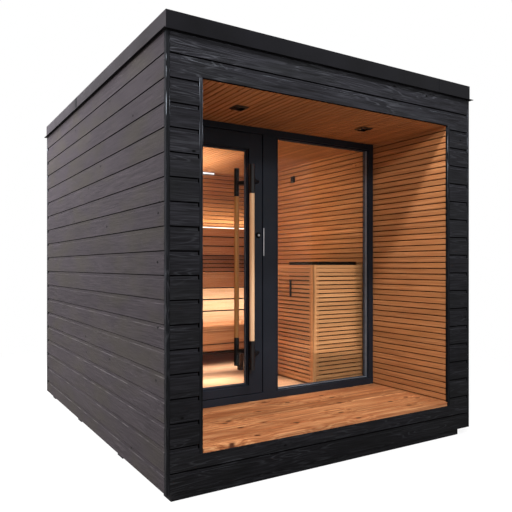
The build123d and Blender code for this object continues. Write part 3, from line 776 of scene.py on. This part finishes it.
# the left linings face +X, the right ones face -X and the rear one faces -Y
for name, low, high in (("porch", porchLow, porchHigh), ("room", roomLow, roomHigh)):
    long = high.y - low.y
    left = slatSheet(name + "Left", facing(low.x + thick, low.y, 90), long, low.z, high.z)
    right = slatSheet(name + "Right", facing(high.x - thick, high.y, -90), long, low.z, high.z)
    sheets[name] = (left[0] + right[0], left[1] + right[1])
sheets["rear"] = slatSheet("rear", facing(roomLow.x + thick, roomHigh.y - thick, 0),
                           roomHigh.x - roomLow.x - 2 * thick, roomLow.z, roomHigh.z)
ceilLow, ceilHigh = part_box("porch_ceiling")
sheets["porchCeiling"] = ceilingSheet("porchCeiling", ceilLow, ceilHigh)
overLow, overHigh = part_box("room_ceiling")
sheets["roomCeiling"] = ceilingSheet("roomCeiling", overLow, overHigh)

for name, sheet, material, node in (("porchSideSlats", "porch", alderWallY, "porch_linings"),
                                    ("porchCeilingSlats", "porchCeiling", alderCeiling, "porch_ceiling"),
                                    ("roomSideSlats", "room", alderWallY, "room_linings"),
                                    ("roomRearSlats", "rear", alderWallX, "room_linings"),
                                    ("roomCeilingSlats", "roomCeiling", alderCeiling, "room_ceiling")):
    finish(joinAs(name, sheets[sheet][0]), material, "cabin", "lining_slats", node)
    # the sheets behind the rear and ceiling slats get the darker painted shade
    gapShadeSheet = deepGapShade if sheet in ("rear", "roomCeiling") else slatGapShade
    finish(joinAs(sheet + "Felt", sheets[sheet][1]), gapShadeSheet, "cabin", "lining_slats", node)
print("linings laid")


# deck and floor

deck = {"boards": 6, "gap": 2.5 * mm, "edge": 5 * mm, "noseCorner": 12 * mm}
roomFloor = {"boards": 16, "gap": 2 * mm, "edge": 1.5 * mm}


def boardRow(name, low, high, count, gap, edge):
    # boards along X side by side between two corners, their upper edges eased, the ends less than the sides
    pitch = (high[1] - low[1]) / count
    size = Vector((high[0] - low[0], pitch - gap, high[2] - low[2]))
    template = startBlock("plank", (0, 0, 0), size)
    bevelEdges(template, edge, 2, lambda middle, way: abs(way.x) > 0.9 and middle.z > size.z - mm)
    bevelEdges(template, edge / 2, 2, lambda middle, way: abs(way.y) > 0.5 and middle.z > size.z - mm)
    row = []
    for number in range(count):
        corner = Vector(low)
        corner.y += number * pitch + (gap / 2 if number else 0)
        row.append(copyTo(template, Matrix.Translation(corner), toneFor(name, number)))
    discard(template)
    return row


deckLow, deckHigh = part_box("porch_deck")
deckRow = boardRow("deck", deckLow, deckHigh, deck["boards"], deck["gap"], deck["edge"])
bevelEdges(deckRow[0], deck["noseCorner"], 4,
           lambda middle, way: abs(way.z) > 0.9 and middle.y < deckLow.y + 8 * mm)
finish(joinAs("deckBoards", deckRow), pineDeck, "cabin", "deck_boards", "porch_deck")
floorLow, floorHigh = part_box("interior_floor")
floorRow = boardRow("floor", floorLow, floorHigh, roomFloor["boards"], roomFloor["gap"], roomFloor["edge"])
finish(joinAs("floorBoards", floorRow), aspenFloor, "cabin", "floor_boards", "interior_floor")
print("floors laid")


# benches

bench = {"nosing": 43 * mm, "board": 28 * mm, "gap": 9 * mm, "edge": 3 * mm, "lowerBoards": 9,
         "upperBoards": 6, "lowerTop": 715 * mm, "frontBoard": 20 * mm, "apron": 103 * mm,
         "risers": 4, "riserGap": 13 * mm, "riserEdge": 1 * mm, "kickJoint": 552 * mm, "kickGap": 8 * mm,
         "kickTopGap": 3 * mm, "restBoards": 3, "restGap": 12 * mm}
# dark blocks behind the joints between a bench's upright boards: painted shade for the space behind the gaps
shadeBlock = {"sink": 5 * mm, "thick": 11 * mm, "restThick": 13 * mm, "margin": 10 * mm, "edge": 1 * mm}


def nosedBoards(name, low, high, count):
    # seat boards along X; the front one is as thick as the seat and rounded
    row = boardRow(name, (low.x, low.y, high.z - bench["board"]), high, count, bench["gap"], bench["edge"])
    pitch = (high.y - low.y) / count
    under = startBlock("under", low, (high.x, low.y + pitch - bench["gap"], high.z - bench["board"]))
    bevelEdges(under, bench["edge"], 2, lambda middle, way: abs(way.x) > 0.9 and middle.z < low.z + mm
               and middle.y < low.y + mm)
    setTone(under, toneFor(name, 0))
    return row + [under]


def stackedBoards(name, low, high, count=1, gap=0, edge=bench["edge"]):
    # upright boards one over another that face -Y
    pitch = (high[2] - low[2] + gap) / count
    template = startBlock("board", low, (high[0], high[1], low[2] + pitch - gap))
    bevelEdges(template, edge, 2, lambda middle, way: abs(way.x) > 0.9 and middle.y < low[1] + mm)
    row = [copyTo(template, Matrix.Translation((0, 0, number * pitch)), toneFor(name, number))
           for number in range(count)]
    discard(template)
    return row


def darkSpline(name, low, high, node):
    piece = startBlock(name, low, high)
    bevelEdges(piece, shadeBlock["edge"], 1, lambda middle, way: abs(way.x) > 0.9)
    finish(piece, deepGapShade, "cabin", "bench_wood", node)


seatLow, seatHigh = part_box("bench_seats")
frontsLow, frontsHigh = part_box("bench_fronts")
lowerTop, board = bench["lowerTop"], bench["frontBoard"]
upperFront = frontsHigh.y - 2 * board  # the apron stands one board in front of the risers
underUpper = seatHigh.z - bench["nosing"]
underLower = lowerTop - bench["nosing"]
left, right = seatLow.x, seatHigh.x
upperSeat = nosedBoards("upperSeat", Vector((left, upperFront, underUpper)), seatHigh, bench["upperBoards"])
lowerSeat = nosedBoards("lowerSeat", seatLow, Vector((right, seatHigh.y, lowerTop)), bench["lowerBoards"])
finish(joinAs("benchBoards", upperSeat + lowerSeat), aspenAlongX, "cabin", "bench_wood", "bench_seats")
aprons = stackedBoards("apron", (left, upperFront, underUpper - bench["apron"]),
                       (right, upperFront + board, underUpper))
aprons += stackedBoards("kickFoot", frontsLow,
                        (right, frontsLow.y + board, bench["kickJoint"] - bench["kickGap"] / 2))
aprons += stackedBoards("kick", (left, frontsLow.y, bench["kickJoint"] + bench["kickGap"] / 2),
                        (right, frontsLow.y + board, underLower - bench["kickTopGap"]))
finish(joinAs("benchFrontBoards", aprons), aspenAlongX, "cabin", "bench_wood", "bench_fronts")
risers = stackedBoards("riser", (left, upperFront + board, lowerTop), (right, frontsHigh.y, underUpper),
                       bench["risers"], bench["riserGap"], bench["riserEdge"])
finish(joinAs("benchRisers", risers), paintedLitAspenX, "cabin", "bench_wood", "bench_fronts")
riserBack = upperFront + board + shadeBlock["sink"]
darkSpline("riserGapShade", (left, riserBack, lowerTop), (right, riserBack + shadeBlock["thick"], underUpper),
           "bench_fronts")
kickBack = frontsLow.y + shadeBlock["sink"]
darkSpline("kickGapShade", (left, kickBack, frontsLow.z + shadeBlock["margin"]),
           (right, kickBack + shadeBlock["thick"], underLower), "bench_fronts")
restLow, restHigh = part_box("backrest")
restBack = restLow.y + shadeBlock["sink"]
darkSpline("restGapShade", (restLow.x, restBack, restLow.z + shadeBlock["margin"]),
           (restHigh.x, restBack + shadeBlock["restThick"], restHigh.z - shadeBlock["margin"]), "backrest")
restBoards = stackedBoards("rest", restLow, restHigh, bench["restBoards"], bench["restGap"])
finish(joinAs("backrestBoards", restBoards), aspenAlongX, "cabin", "bench_wood", "backrest")
print("benches built")


# heater guard

guard = {"slat": 27 * mm, "slatThick": 16 * mm, "rail": 60 * mm, "railBoard": 29 * mm, "footRail": 30 * mm,
         "post": 36 * mm, "postEdge": 2 * mm, "railThick": 28 * mm, "edge": 1.5 * mm, "pitch": 35.8 * mm,
         "postTone": 0.9}


def guardPanel(name, length, foot, top):
    # a panel that faces -Y: head rail of two boards, foot rail, battens behind and slats across
    railFoot = top - guard["rail"]
    footTop = foot + guard["footRail"]
    count = round((railFoot - footTop) / guard["pitch"])
    pitch = (railFoot - footTop) / count
    bars = [("foot", foot, footTop, guard["railThick"]),
            ("railLow", railFoot, railFoot + guard["railBoard"], guard["railThick"]),
            ("railHigh", top - guard["railBoard"], top, guard["railThick"])]
    for number in range(count):
        middle = footTop + (number + 0.5) * pitch
        bars.append((number, middle - guard["slat"] / 2, middle + guard["slat"] / 2, guard["slatThick"]))
    parts = []
    for part, z0, z1, thickness in bars:
        bar = startBlock("bar", (0, 0, z0), (length, thickness, z1))
        bevelEdges(bar, guard["edge"], 1, lambda middle, way: abs(way.x) > 0.9)
        setTone(bar, toneFor(name, part))
        parts.append(bar)
    for x0 in (0, length - guard["post"]):
        batten = startBlock("batten", (x0, guard["slatThick"], footTop),
                            (x0 + guard["post"], guard["railThick"], railFoot))
        bevelEdges(batten, guard["edge"], 1, lambda middle, way: abs(way.z) > 0.9)
        setTone(batten, toneFor(name, "batten", x0))
        parts.append(batten)
    return joinAs(name, parts)


endLow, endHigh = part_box("guard_end_panels")
panelLow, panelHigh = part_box("guard_side_panel")
frontPanel = guardPanel("guardFront", endHigh.x - endLow.x, endLow.z, endHigh.z)
rearPanel = copyTo(frontPanel, facing(endHigh.x, endHigh.y, 180))
frontPanel.data.transform(facing(endLow.x, endLow.y, 0))
guardEnds = joinAs("guardEndSlats", [frontPanel, rearPanel])
finish(guardEnds, aspenAlongX, "cabin", "guard_wood", "guard_end_panels")
sideSlats = guardPanel("guardSideSlats", panelHigh.y - panelLow.y - 2 * guard["post"], endLow.z, endHigh.z)
sideSlats.data.transform(facing(panelLow.x, panelHigh.y - guard["post"], -90))
finish(sideSlats, aspenAlongY, "cabin", "guard_wood", "guard_side_panel")
guardPosts = []
for y0 in (panelLow.y, panelHigh.y - guard["post"]):
    post = startBlock("post", (panelLow.x, y0, panelLow.z), (panelHigh.x, y0 + guard["post"], panelHigh.z))
    bevelEdges(post, guard["postEdge"], 2, lambda middle, way: abs(way.z) > 0.9)
    setTone(post, guard["postTone"])
    guardPosts.append(post)
finish(joinAs("guardPosts", guardPosts), aspenUpright, "cabin", "guard_wood", "guard_side_panel")
print("guard built")


# frame of the glazed wall and the door leaf

doorSet = {"edge": 2.5 * mm, "groove": 3 * mm, "grooveDeep": 4 * mm, "grooveFromGlass": 14 * mm,
           "grooveSlope": 0.2 * mm, "widePost": 100 * mm}


def frameBars(name, node, way, body):
    # coated profiles with eased edges; the wide post has a shallow groove beside the fixed glass
    bars = []
    for low, high in solidBoxes(node):
        bar = startBlock("bar", low, high)
        if node == "frame_uprights" and high.x - low.x > doorSet["widePost"]:
            left = high.x - doorSet["grooveFromGlass"]
            right = left + doorSet["groove"]
            for place in (left, right):
                cutAcross(bar, 0, place)
            pick(bar, "FACE", lambda middle, normal: abs(normal.y) > 0.9 and left < middle.x < right)
            bpy.ops.mesh.inset(thickness=doorSet["grooveSlope"], depth=-doorSet["grooveDeep"],
                               use_individual=True)
            leaveEdit()
        # the edges along the bar, but not those that the groove has made
        bevelEdges(bar, doorSet["edge"], 2, lambda middle, direction: abs(direction[way]) > 0.9
                   and (min(middle.x - low.x, high.x - middle.x) < mm / 10 or way == 0)
                   and min(middle.y - low.y, high.y - middle.y) < mm / 10)
        bars.append(bar)
    return finish(joinAs(name, bars), anthracitePaint, body, "frame_profile", node)


frameBars("frameUprights", "frame_uprights", 2, "cabin")
frameBars("frameRails", "frame_rails", 0, "cabin")
frameBars("doorStiles", "door_stiles", 2, "door")
frameBars("doorRails", "door_rails", 0, "door")


# sealed double panes: two sheets of glass on a spacer bar

pane = {"sheet": 4 * mm, "spacer": 15 * mm, "arris": 0.8 * mm}
for node, body, name in (("fixed_glass", "cabin", "window"), ("door_glass", "door", "doorPane")):
    low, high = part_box(node)
    sheetsOfGlass = []
    for y0, y1 in ((low.y, low.y + pane["sheet"]), (high.y - pane["sheet"], high.y)):
        sheet = startBlock("sheet", (low.x, y0, low.z), (high.x, y1, high.z))
        bevelEdges(sheet, pane["arris"], 1, lambda middle, way: True)
        sheetsOfGlass.append(sheet)
    finish(joinAs(name + "Glass", sheetsOfGlass), clearGlass, body, "clear_glass", node)
    spacer = openFrame(name + "Spacer", (low.x, low.y + pane["sheet"], low.z),
                       (high.x, high.y - pane["sheet"], high.z), pane["spacer"])
    finish(spacer, spacerSteel, body, "frame_profile", node)
print("panes set")


# lock cylinders and the strike plate on the post

lock = {"rose": 22 * mm, "roseThick": 8 * mm, "roseEdge": 2 * mm, "core": 9.5 * mm, "coreEdge": 1.2 * mm,
        "keyway": 3.5 * mm, "keywayDeep": 1.5 * mm, "plateFromEdge": 1.5 * mm, "plateWide": 8 * mm,
        "plateFoot": 1350 * mm, "plateTop": 1562 * mm, "plateThick": 2 * mm, "plateEdge": 0.8 * mm,
        "plateCorner": 3 * mm}


def turnedDisc(name, radius, y0, y1, x, z):
    clearSelection()
    bpy.ops.mesh.primitive_cylinder_add(vertices=40, radius=radius, depth=abs(y1 - y0),
                                        location=(x, (y0 + y1) / 2, z), rotation=(math.radians(90), 0, 0))
    disc = bpy.context.object
    bpy.ops.object.transform_apply(location=True, rotation=True, scale=True)
    disc.name = name
    return disc


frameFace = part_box("frame_uprights")[0].y
roses, cores = [], []
for low, high in solidBoxes("door_lock"):
    x, z = (low.x + high.x) / 2, (low.z + high.z) / 2
    outside = low.y < frameFace
    base, tip = (high.y, low.y) if outside else (low.y, high.y)
    roseFace = base + (-lock["roseThick"] if outside else lock["roseThick"])
    rose = turnedDisc("rose", lock["rose"], base, roseFace, x, z)
    bevelEdges(rose, lock["roseEdge"], 3, lambda middle, way: abs(middle.y - roseFace) < mm / 10)
    core = turnedDisc("core", lock["core"], base, tip, x, z)
    bevelEdges(core, lock["coreEdge"], 2, lambda middle, way: abs(middle.y - tip) < mm / 10)
    pick(core, "FACE", lambda middle, normal: abs(middle.y - tip) < mm / 10)
    bpy.ops.mesh.inset(thickness=lock["keyway"], depth=-lock["keywayDeep"])
    leaveEdit()
    roses.append(rose)
    cores.append(core)
finish(joinAs("lockRoses", roses), jetPlastic, "door", "black_fittings", "door_lock")
finish(joinAs("lockCores", cores), satinSteel, "door", "lock_steel", "door_lock")

postLow = [low for low, high in solidBoxes("frame_uprights") if high.x - low.x > doorSet["widePost"]][0]
plateLeft = postLow.x + lock["plateFromEdge"]
plate = startBlock("strikePlate", (plateLeft, postLow.y - lock["plateThick"], lock["plateFoot"]),
                   (plateLeft + lock["plateWide"], postLow.y, lock["plateTop"]))
bevelEdges(plate, lock["plateEdge"], 2, lambda middle, way: middle.y < postLow.y - mm)
bevelEdges(plate, lock["plateCorner"], 3, lambda middle, way: abs(way.y) > 0.9)
finish(plate, satinSteel, "cabin", "lock_steel")
print("lock set")


# porch downlights: a black frame round a sunk lens

downlight = {"frame": 11 * mm, "slope": 1.5 * mm, "sink": 2.5 * mm, "edge": 1 * mm}
for number, (low, high) in enumerate(solidBoxes("porch_lights")):
    light = startBlock("downlight%d" % (number + 1), low, high)
    bevelEdges(light, downlight["edge"], 2, lambda middle, way: middle.z < low.z + mm / 10)
    pick(light, "FACE", lambda middle, normal: normal.z < -0.9)
    bpy.ops.mesh.inset(thickness=downlight["frame"], depth=0)
    bpy.ops.mesh.inset(thickness=downlight["slope"], depth=-downlight["sink"])
    leaveEdit()
    finish(light, blackPowder, "cabin", "black_fittings", "porch_lights")


# heater: a black steel jacket on four feet, its well full of stones

stove = {"foot": 60 * mm, "legWide": 40 * mm, "legInset": 20 * mm, "legEdge": 3 * mm, "corner": 6 * mm,
         "wall": 6 * mm, "rimEdge": 1.5 * mm, "well": 90 * mm, "wellSlope": 0.5 * mm}
stones = {"radius": 34 * mm, "rows": 7, "layers": 2, "layerRise": 20 * mm, "bottom": 32 * mm,
          "jitter": 5 * mm, "least": 0.86, "spread": 0.2, "keep": 0.45, "turn": 6.28, "seed": 11}
heatLow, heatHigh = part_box("heater")
jacketFoot = heatLow.z + stove["foot"]
jacket = startBlock("heaterJacket", (heatLow.x, heatLow.y, jacketFoot), heatHigh)
bevelEdges(jacket, stove["corner"], 3, lambda middle, way: abs(way.z) > 0.9)
pick(jacket, "FACE", lambda middle, normal: normal.z > 0.9)
bpy.ops.mesh.inset(thickness=stove["wall"], depth=0)
bpy.ops.mesh.inset(thickness=stove["wellSlope"], depth=-stove["well"])
leaveEdit()
bevelEdges(jacket, stove["rimEdge"], 2, lambda middle, way: middle.z > heatHigh.z - mm / 10)
jacketParts = [jacket]
inset, legWide = stove["legInset"], stove["legWide"]
for x in (heatLow.x + inset, heatHigh.x - inset - legWide):
    for y in (heatLow.y + inset, heatHigh.y - inset - legWide):
        leg = startBlock("leg", (x, y, heatLow.z), (x + legWide, y + legWide, jacketFoot))
        bevelEdges(leg, stove["legEdge"], 2, lambda middle, way: abs(way.z) > 0.9)
        jacketParts.append(leg)
finish(joinAs("heaterJacket", jacketParts), stovePaint, "cabin", "heater_steel", "heater")

clearSelection()
bpy.ops.mesh.primitive_ico_sphere_add(subdivisions=2, radius=stones["radius"])
stone = bpy.context.object
chip = random.Random(stones["seed"])
for spot in stone.data.vertices:
    spot.co *= stones["least"] + stones["spread"] * chip.random()
applyModifier(stone, "DECIMATE", ratio=stones["keep"])
rim = stove["wall"] + stones["radius"] * 1.1
step = (heatHigh.x - heatLow.x - 2 * rim) / (stones["rows"] - 1)
heap = []
for layer in range(stones["layers"]):
    for row in range(stones["rows"]):
        for column in range(stones["rows"]):
            x, y = heatLow.x + rim + step * column, heatLow.y + rim + step * row
            z = heatHigh.z - stove["well"] + stones["bottom"] + layer * stones["layerRise"]
            z += chip.uniform(-1, 1) * stones["jitter"]
            turn = Matrix.Rotation(chip.uniform(0, stones["turn"]), 4, "X")
            turn = turn @ Matrix.Rotation(chip.uniform(0, stones["turn"]), 4, "Z")
            heap.append(copyTo(stone, Matrix.Translation((x, y, z)) @ turn, chip.random()))
discard(stone)
finish(joinAs("heaterStones", heap), heaterStone, "cabin", "heater_steel", "heater")
print("heater built")


# roof: sheet seams on the edge and welded laps on the covering

roof = {"seamWide": 45 * mm, "seamThick": 1.2 * mm, "seamHeight": 99 * mm, "seamEdge": 0.5 * mm,
        "sheetFace": 3 * mm, "lapWide": 80 * mm, "lapThick": 1.5 * mm, "lapEdge": 1 * mm, "laps": 3,
        "lapFromEdge": 62 * mm}
# each seam: the axis that its side looks along, which way, and where on that side it starts
seamPlaces = ((1, -1, 905 * mm), (1, 1, -950 * mm), (0, -1, 350 * mm), (0, 1, -350 * mm))
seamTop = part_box("roof_fascia")[1].z - 1 * mm
seams = []
for axis, way, start in seamPlaces:
    sheet = cornerHigh[axis] + roof["sheetFace"]
    low, high = Vector((start, start, seamTop - roof["seamHeight"])), Vector((0, 0, seamTop))
    high[1 - axis] = start + roof["seamWide"]
    low[axis], high[axis] = sorted((way * sheet, way * (sheet + roof["seamThick"])))
    seam = startBlock("seam", low, high)
    bevelEdges(seam, roof["seamEdge"], 1, lambda middle, way: abs(way.z) > 0.9)
    seams.append(seam)
finish(joinAs("fasciaSeams", seams), coatedSteel, "cabin", "roof_sheet")

coverLow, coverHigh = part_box("roof_membrane")
cover = startBlock("cover", coverLow, coverHigh)
bevelEdges(cover, roof["lapEdge"], 1, lambda middle, way: middle.z > coverHigh.z - mm / 10)
laps = [cover]
for number in range(roof["laps"]):
    x = coverLow.x + (number + 1) * (coverHigh.x - coverLow.x) / (roof["laps"] + 1)
    lap = startBlock("lap", (x - roof["lapWide"] / 2, coverLow.y + roof["lapFromEdge"], coverHigh.z),
                     (x + roof["lapWide"] / 2, coverHigh.y - roof["lapFromEdge"],
                      coverHigh.z + roof["lapThick"]))
    bevelEdges(lap, roof["lapEdge"], 1, lambda middle, way: middle.z > coverHigh.z + mm)
    laps.append(lap)
finish(joinAs("roofCovering", laps), roofMembrane, "cabin", "roof_membrane", "roof_membrane")

bearers, bearerEdge = [], 3 * mm
for number, (low, high) in enumerate(solidBoxes("floor_bearers")):
    bearer = startBlock("bearer", low, high)
    bevelEdges(bearer, bearerEdge, 2, lambda middle, way: abs(way.x) > 0.9)
    setTone(bearer, toneFor("bearer", number))
    bearers.append(bearer)
finish(joinAs("floorBeams", bearers), spruceAlongX, "cabin", "black_timber", "floor_bearers")
print("roof and base dressed")


# linear lamp on the rear wall and sensor on the right one

lens = {"margin": 7 * mm, "gap": 1 * mm, "sink": 1.5 * mm, "edge": 1 * mm}
lampLow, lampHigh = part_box("wall_lamp")
housing = startBlock("wallLampHousing", lampLow, lampHigh)
pick(housing, "FACE", lambda middle, normal: normal.y < -0.9)
bpy.ops.mesh.inset(thickness=lens["margin"], depth=-lens["sink"])
leaveEdit()
bevelEdges(housing, lens["edge"], 2, lambda middle, way: abs(way.x) > 0.9 and middle.z < lampLow.z + mm / 10)
finish(housing, greyAnodised, "cabin", "black_fittings", "wall_lamp")
margin = Vector((1, 0, 1)) * (lens["margin"] + lens["gap"])
diffuser = startBlock("wallLampLens", lampLow + margin,
                      Vector((lampHigh.x, lampLow.y + lens["sink"], lampHigh.z)) - margin)
bevelEdges(diffuser, lens["edge"], 2, lambda middle, way: middle.y < lampLow.y + mm / 10)
finish(diffuser, coolLamp, "cabin", "lamp_cover", "wall_lamp")

probe = {"corner": 5 * mm, "rim": 5 * mm, "sink": 2 * mm}
sensorLow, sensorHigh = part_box("room_sensor")
sensor = startBlock("roomSensor", sensorLow, sensorHigh)
bevelEdges(sensor, probe["corner"], 3, lambda middle, way: middle.x < sensorHigh.x - mm)
pick(sensor, "FACE", lambda middle, normal: normal.x < -0.99)
bpy.ops.mesh.inset(thickness=probe["rim"], depth=-probe["sink"])
leaveEdit()
finish(sensor, blackPowder, "cabin", "black_fittings", "room_sensor")
print("room fittings set")


# CAD nodes whose shape stays, with their finishes

nodeFinishes = {"window_beads": anthracitePaint, "door_beads": anthracitePaint, "door_stops": anthracitePaint,
                "frame_hinges": blackPowder, "door_hinges": blackPowder, "handle_fittings": blackPowder,
                "guard_handle": blackPowder, "handle_grips": gripOutside, "roof_fascia": coatedSteel,
                "floor_cassette": wallCore, "side_walls": wallCore, "back_wall": wallCore,
                "roof_cassette": wallCore, "bench_legs": paintedShadeUpright, "bench_rails": aspenAlongY,
                "backrest_battens": aspenUpright, "light_strips": warmStrip}
for name, material in nodeFinishes.items():
    nodes[name].data.materials.clear()
    nodes[name].data.materials.append(material)
# the window's beads are bare metal where they face the opening, and these faces, save those that face down,
# are drawn pale grey, partly a painted highlight of the lit reveal;
# the inner grip has darkened in the heat, the long sides of the roof's edge carry a painted sheen, and the
# upper bench's strip is covered in front
coatFaces(nodes["window_beads"], greyAnodised,
          lambda middle, normal: abs(normal.y) < 0.5 and normal.z > -0.5)
coatFaces(nodes["handle_grips"], gripInside, lambda middle, normal: middle.y > frameFace)
coatFaces(nodes["roof_fascia"], sheenLitSteel, lambda middle, normal: abs(normal.x) > 0.5)
coatFaces(nodes["light_strips"], anthracitePaint,
          lambda middle, normal: middle.z < underUpper and normal.y < -0.5)
print("carried-over nodes finished")


# floor, light and background

studio = {"floorSize": 60.0, "floorSeen": "#f4f4f4", "floorBounce": "#8b8682", "floorWhiteShare": 0.85,
          "floorDrop": 0.5 * mm, "fadeFrom": 2.2, "fadeTo": 4.5, "worldLevel": 0.65}


# each lamp: its place, what it looks at, its size, watts, colour and spread in degrees. The first five light
# the outside, the others stand for the lamps in the room and for what its pale wood throws back
stripWhite = (1.0, 0.95, 0.96)
warmWhite = (1.0, 0.88, 0.72)
lamps = {
    "frontSoftbox": ((-2.5, -5.5, 3.7), (0.4, -1.0, 1.2), (0.5, 0.5), 140, (1.0, 0.99, 0.98), 180),
    "leftSoftbox": ((-7.0, 1.0, 4.5), (-1.2, 0.2, 1.5), (4, 3), 1400, (1.0, 0.98, 0.98), 180),
    "leftRear": ((-2.0, 1.7, 3.9), (-1.25, 1.2, 2.2), (1.2, 1.2), 280, (1.0, 0.97, 1.0), 180),
    "rearFill": ((5.5, 6.5, 4.5), (0.4, 0.6, 1.2), (4, 3), 450, (1.0, 0.99, 0.99), 180),
    "headLight": ((-0.1, -2.7, 4.2), (0.0, -1.8, 1.6), (1.7, 0.3), 142, (0.98, 0.98, 1.0), 180),
    "backrestGlow": ((0.0, 1.215, 1.715), (0.0, 1.24, 2.3), (1.95, 0.03), 6, (1.0, 0.9, 0.76), 180),
    "riserGlow": ((0.0, 0.50, 0.96), (0.0, 0.66, 0.73), (1.95, 0.03), 6.5, stripWhite, 180),
    "floorGlow": ((-0.2, 0.0, 0.75), (-0.2, 0.02, 0.28), (0.5, 0.15), 3.2, stripWhite, 80),
    "guardFloor": ((0.1, -0.45, 1.0), (0.1, -0.45, 0.28), (0.3, 0.2), 1.9, stripWhite, 70),
    "underBench": ((0.1, 0.52, 0.56), (0.1, 0.52, 0.28), (1.0, 0.25), 3, stripWhite, 90),
    "ceilingGlow": ((0.0, 1.0, 2.15), (0.0, 0.4, 1.2), (1.0, 0.06), 4, warmWhite, 180),
    "ceilingWash": ((-0.1, 0.7, 1.6), (-0.5, 0.8, 2.31), (0.9, 0.7), 24, (1.0, 0.96, 0.93), 130),
    "wallWash": ((-0.6, 0.2, 1.95), (1.0, 0.2, 1.8), (0.3, 0.9), 3.2, warmWhite, 70),
    "glassLight": ((0.35, -0.60, 1.35), (0.45, 0.4, 1.35), (1.1, 1.6), 4.2, (1.0, 0.97, 0.92), 180)}
for name, (place, target, size, watts, colour, spread) in lamps.items():
    data = bpy.data.lights.new(name, "AREA")
    data.shape = "RECTANGLE"
    data.spread = math.radians(spread)
    data.size, data.size_y = size
    data.energy = watts
    data.color = colour
    lamp = bpy.data.objects.new(name, data)
    bpy.context.collection.objects.link(lamp)
    lamp.location = place
    lamp.rotation_euler = (Vector(target) - Vector(place)).to_track_quat("-Z", "Y").to_euler()
    lamp.visible_camera = lamp.visible_transmission = lamp.visible_glossy = False

clearSelection()
bpy.ops.mesh.primitive_plane_add(size=studio["floorSize"], location=(0, 0, -studio["floorDrop"]))
floor = bpy.context.object
floor.name = "studioFloor"
floorMaterial, tree = newMaterial("studioFloor")
ray = addNode(tree, "LightPath")
seen = addNode(tree, "Math", {0: (ray, "Is Camera Ray"), 1: (ray, "Is Transmission Ray")},
               operation="MAXIMUM")
tint = addNode(tree, "Mix", {0: seen, 6: linear(studio["floorBounce"]), 7: linear(studio["floorSeen"])},
               data_type="RGBA")
lit = addNode(tree, "BsdfDiffuse", {"Color": (tint, 2)})
white = addNode(tree, "Emission", {"Color": (1, 1, 1, 1), "Strength": 1.0})
place = addNode(tree, "TexCoord")
away = addNode(tree, "VectorMath", {0: (place, "Object")}, operation="LENGTH")
plainer = addNode(tree, "MapRange", {0: (away, "Value"), 1: studio["fadeFrom"], 2: studio["fadeTo"],
                                     3: studio["floorWhiteShare"], 4: 1.0})
share = addNode(tree, "Math", {0: seen, 1: plainer}, operation="MULTIPLY")
blend = addNode(tree, "MixShader", {0: share, 1: lit, 2: white})
addNode(tree, "OutputMaterial", {"Surface": blend})
floor.data.materials.append(floorMaterial)

world = bpy.data.worlds.new("studioWorld")
bpy.context.scene.world = world
world.use_nodes = True
tree = world.node_tree
tree.nodes.clear()
ray = addNode(tree, "LightPath")
seen = addNode(tree, "Math", {0: (ray, "Is Camera Ray"), 1: (ray, "Is Glossy Ray")}, operation="MAXIMUM")
seen = addNode(tree, "Math", {0: seen, 1: (ray, "Is Transmission Ray")}, operation="MAXIMUM")
plain = addNode(tree, "Background", {"Color": (1, 1, 1, 1), "Strength": studio["worldLevel"]})
white = addNode(tree, "Background", {"Color": (1, 1, 1, 1), "Strength": 1.0})
mix = addNode(tree, "MixShader", {0: seen, 1: plain, 2: white})
addNode(tree, "OutputWorld", {"Surface": mix})

bpy.context.scene.view_settings.view_transform = "Standard"
print("studio set")
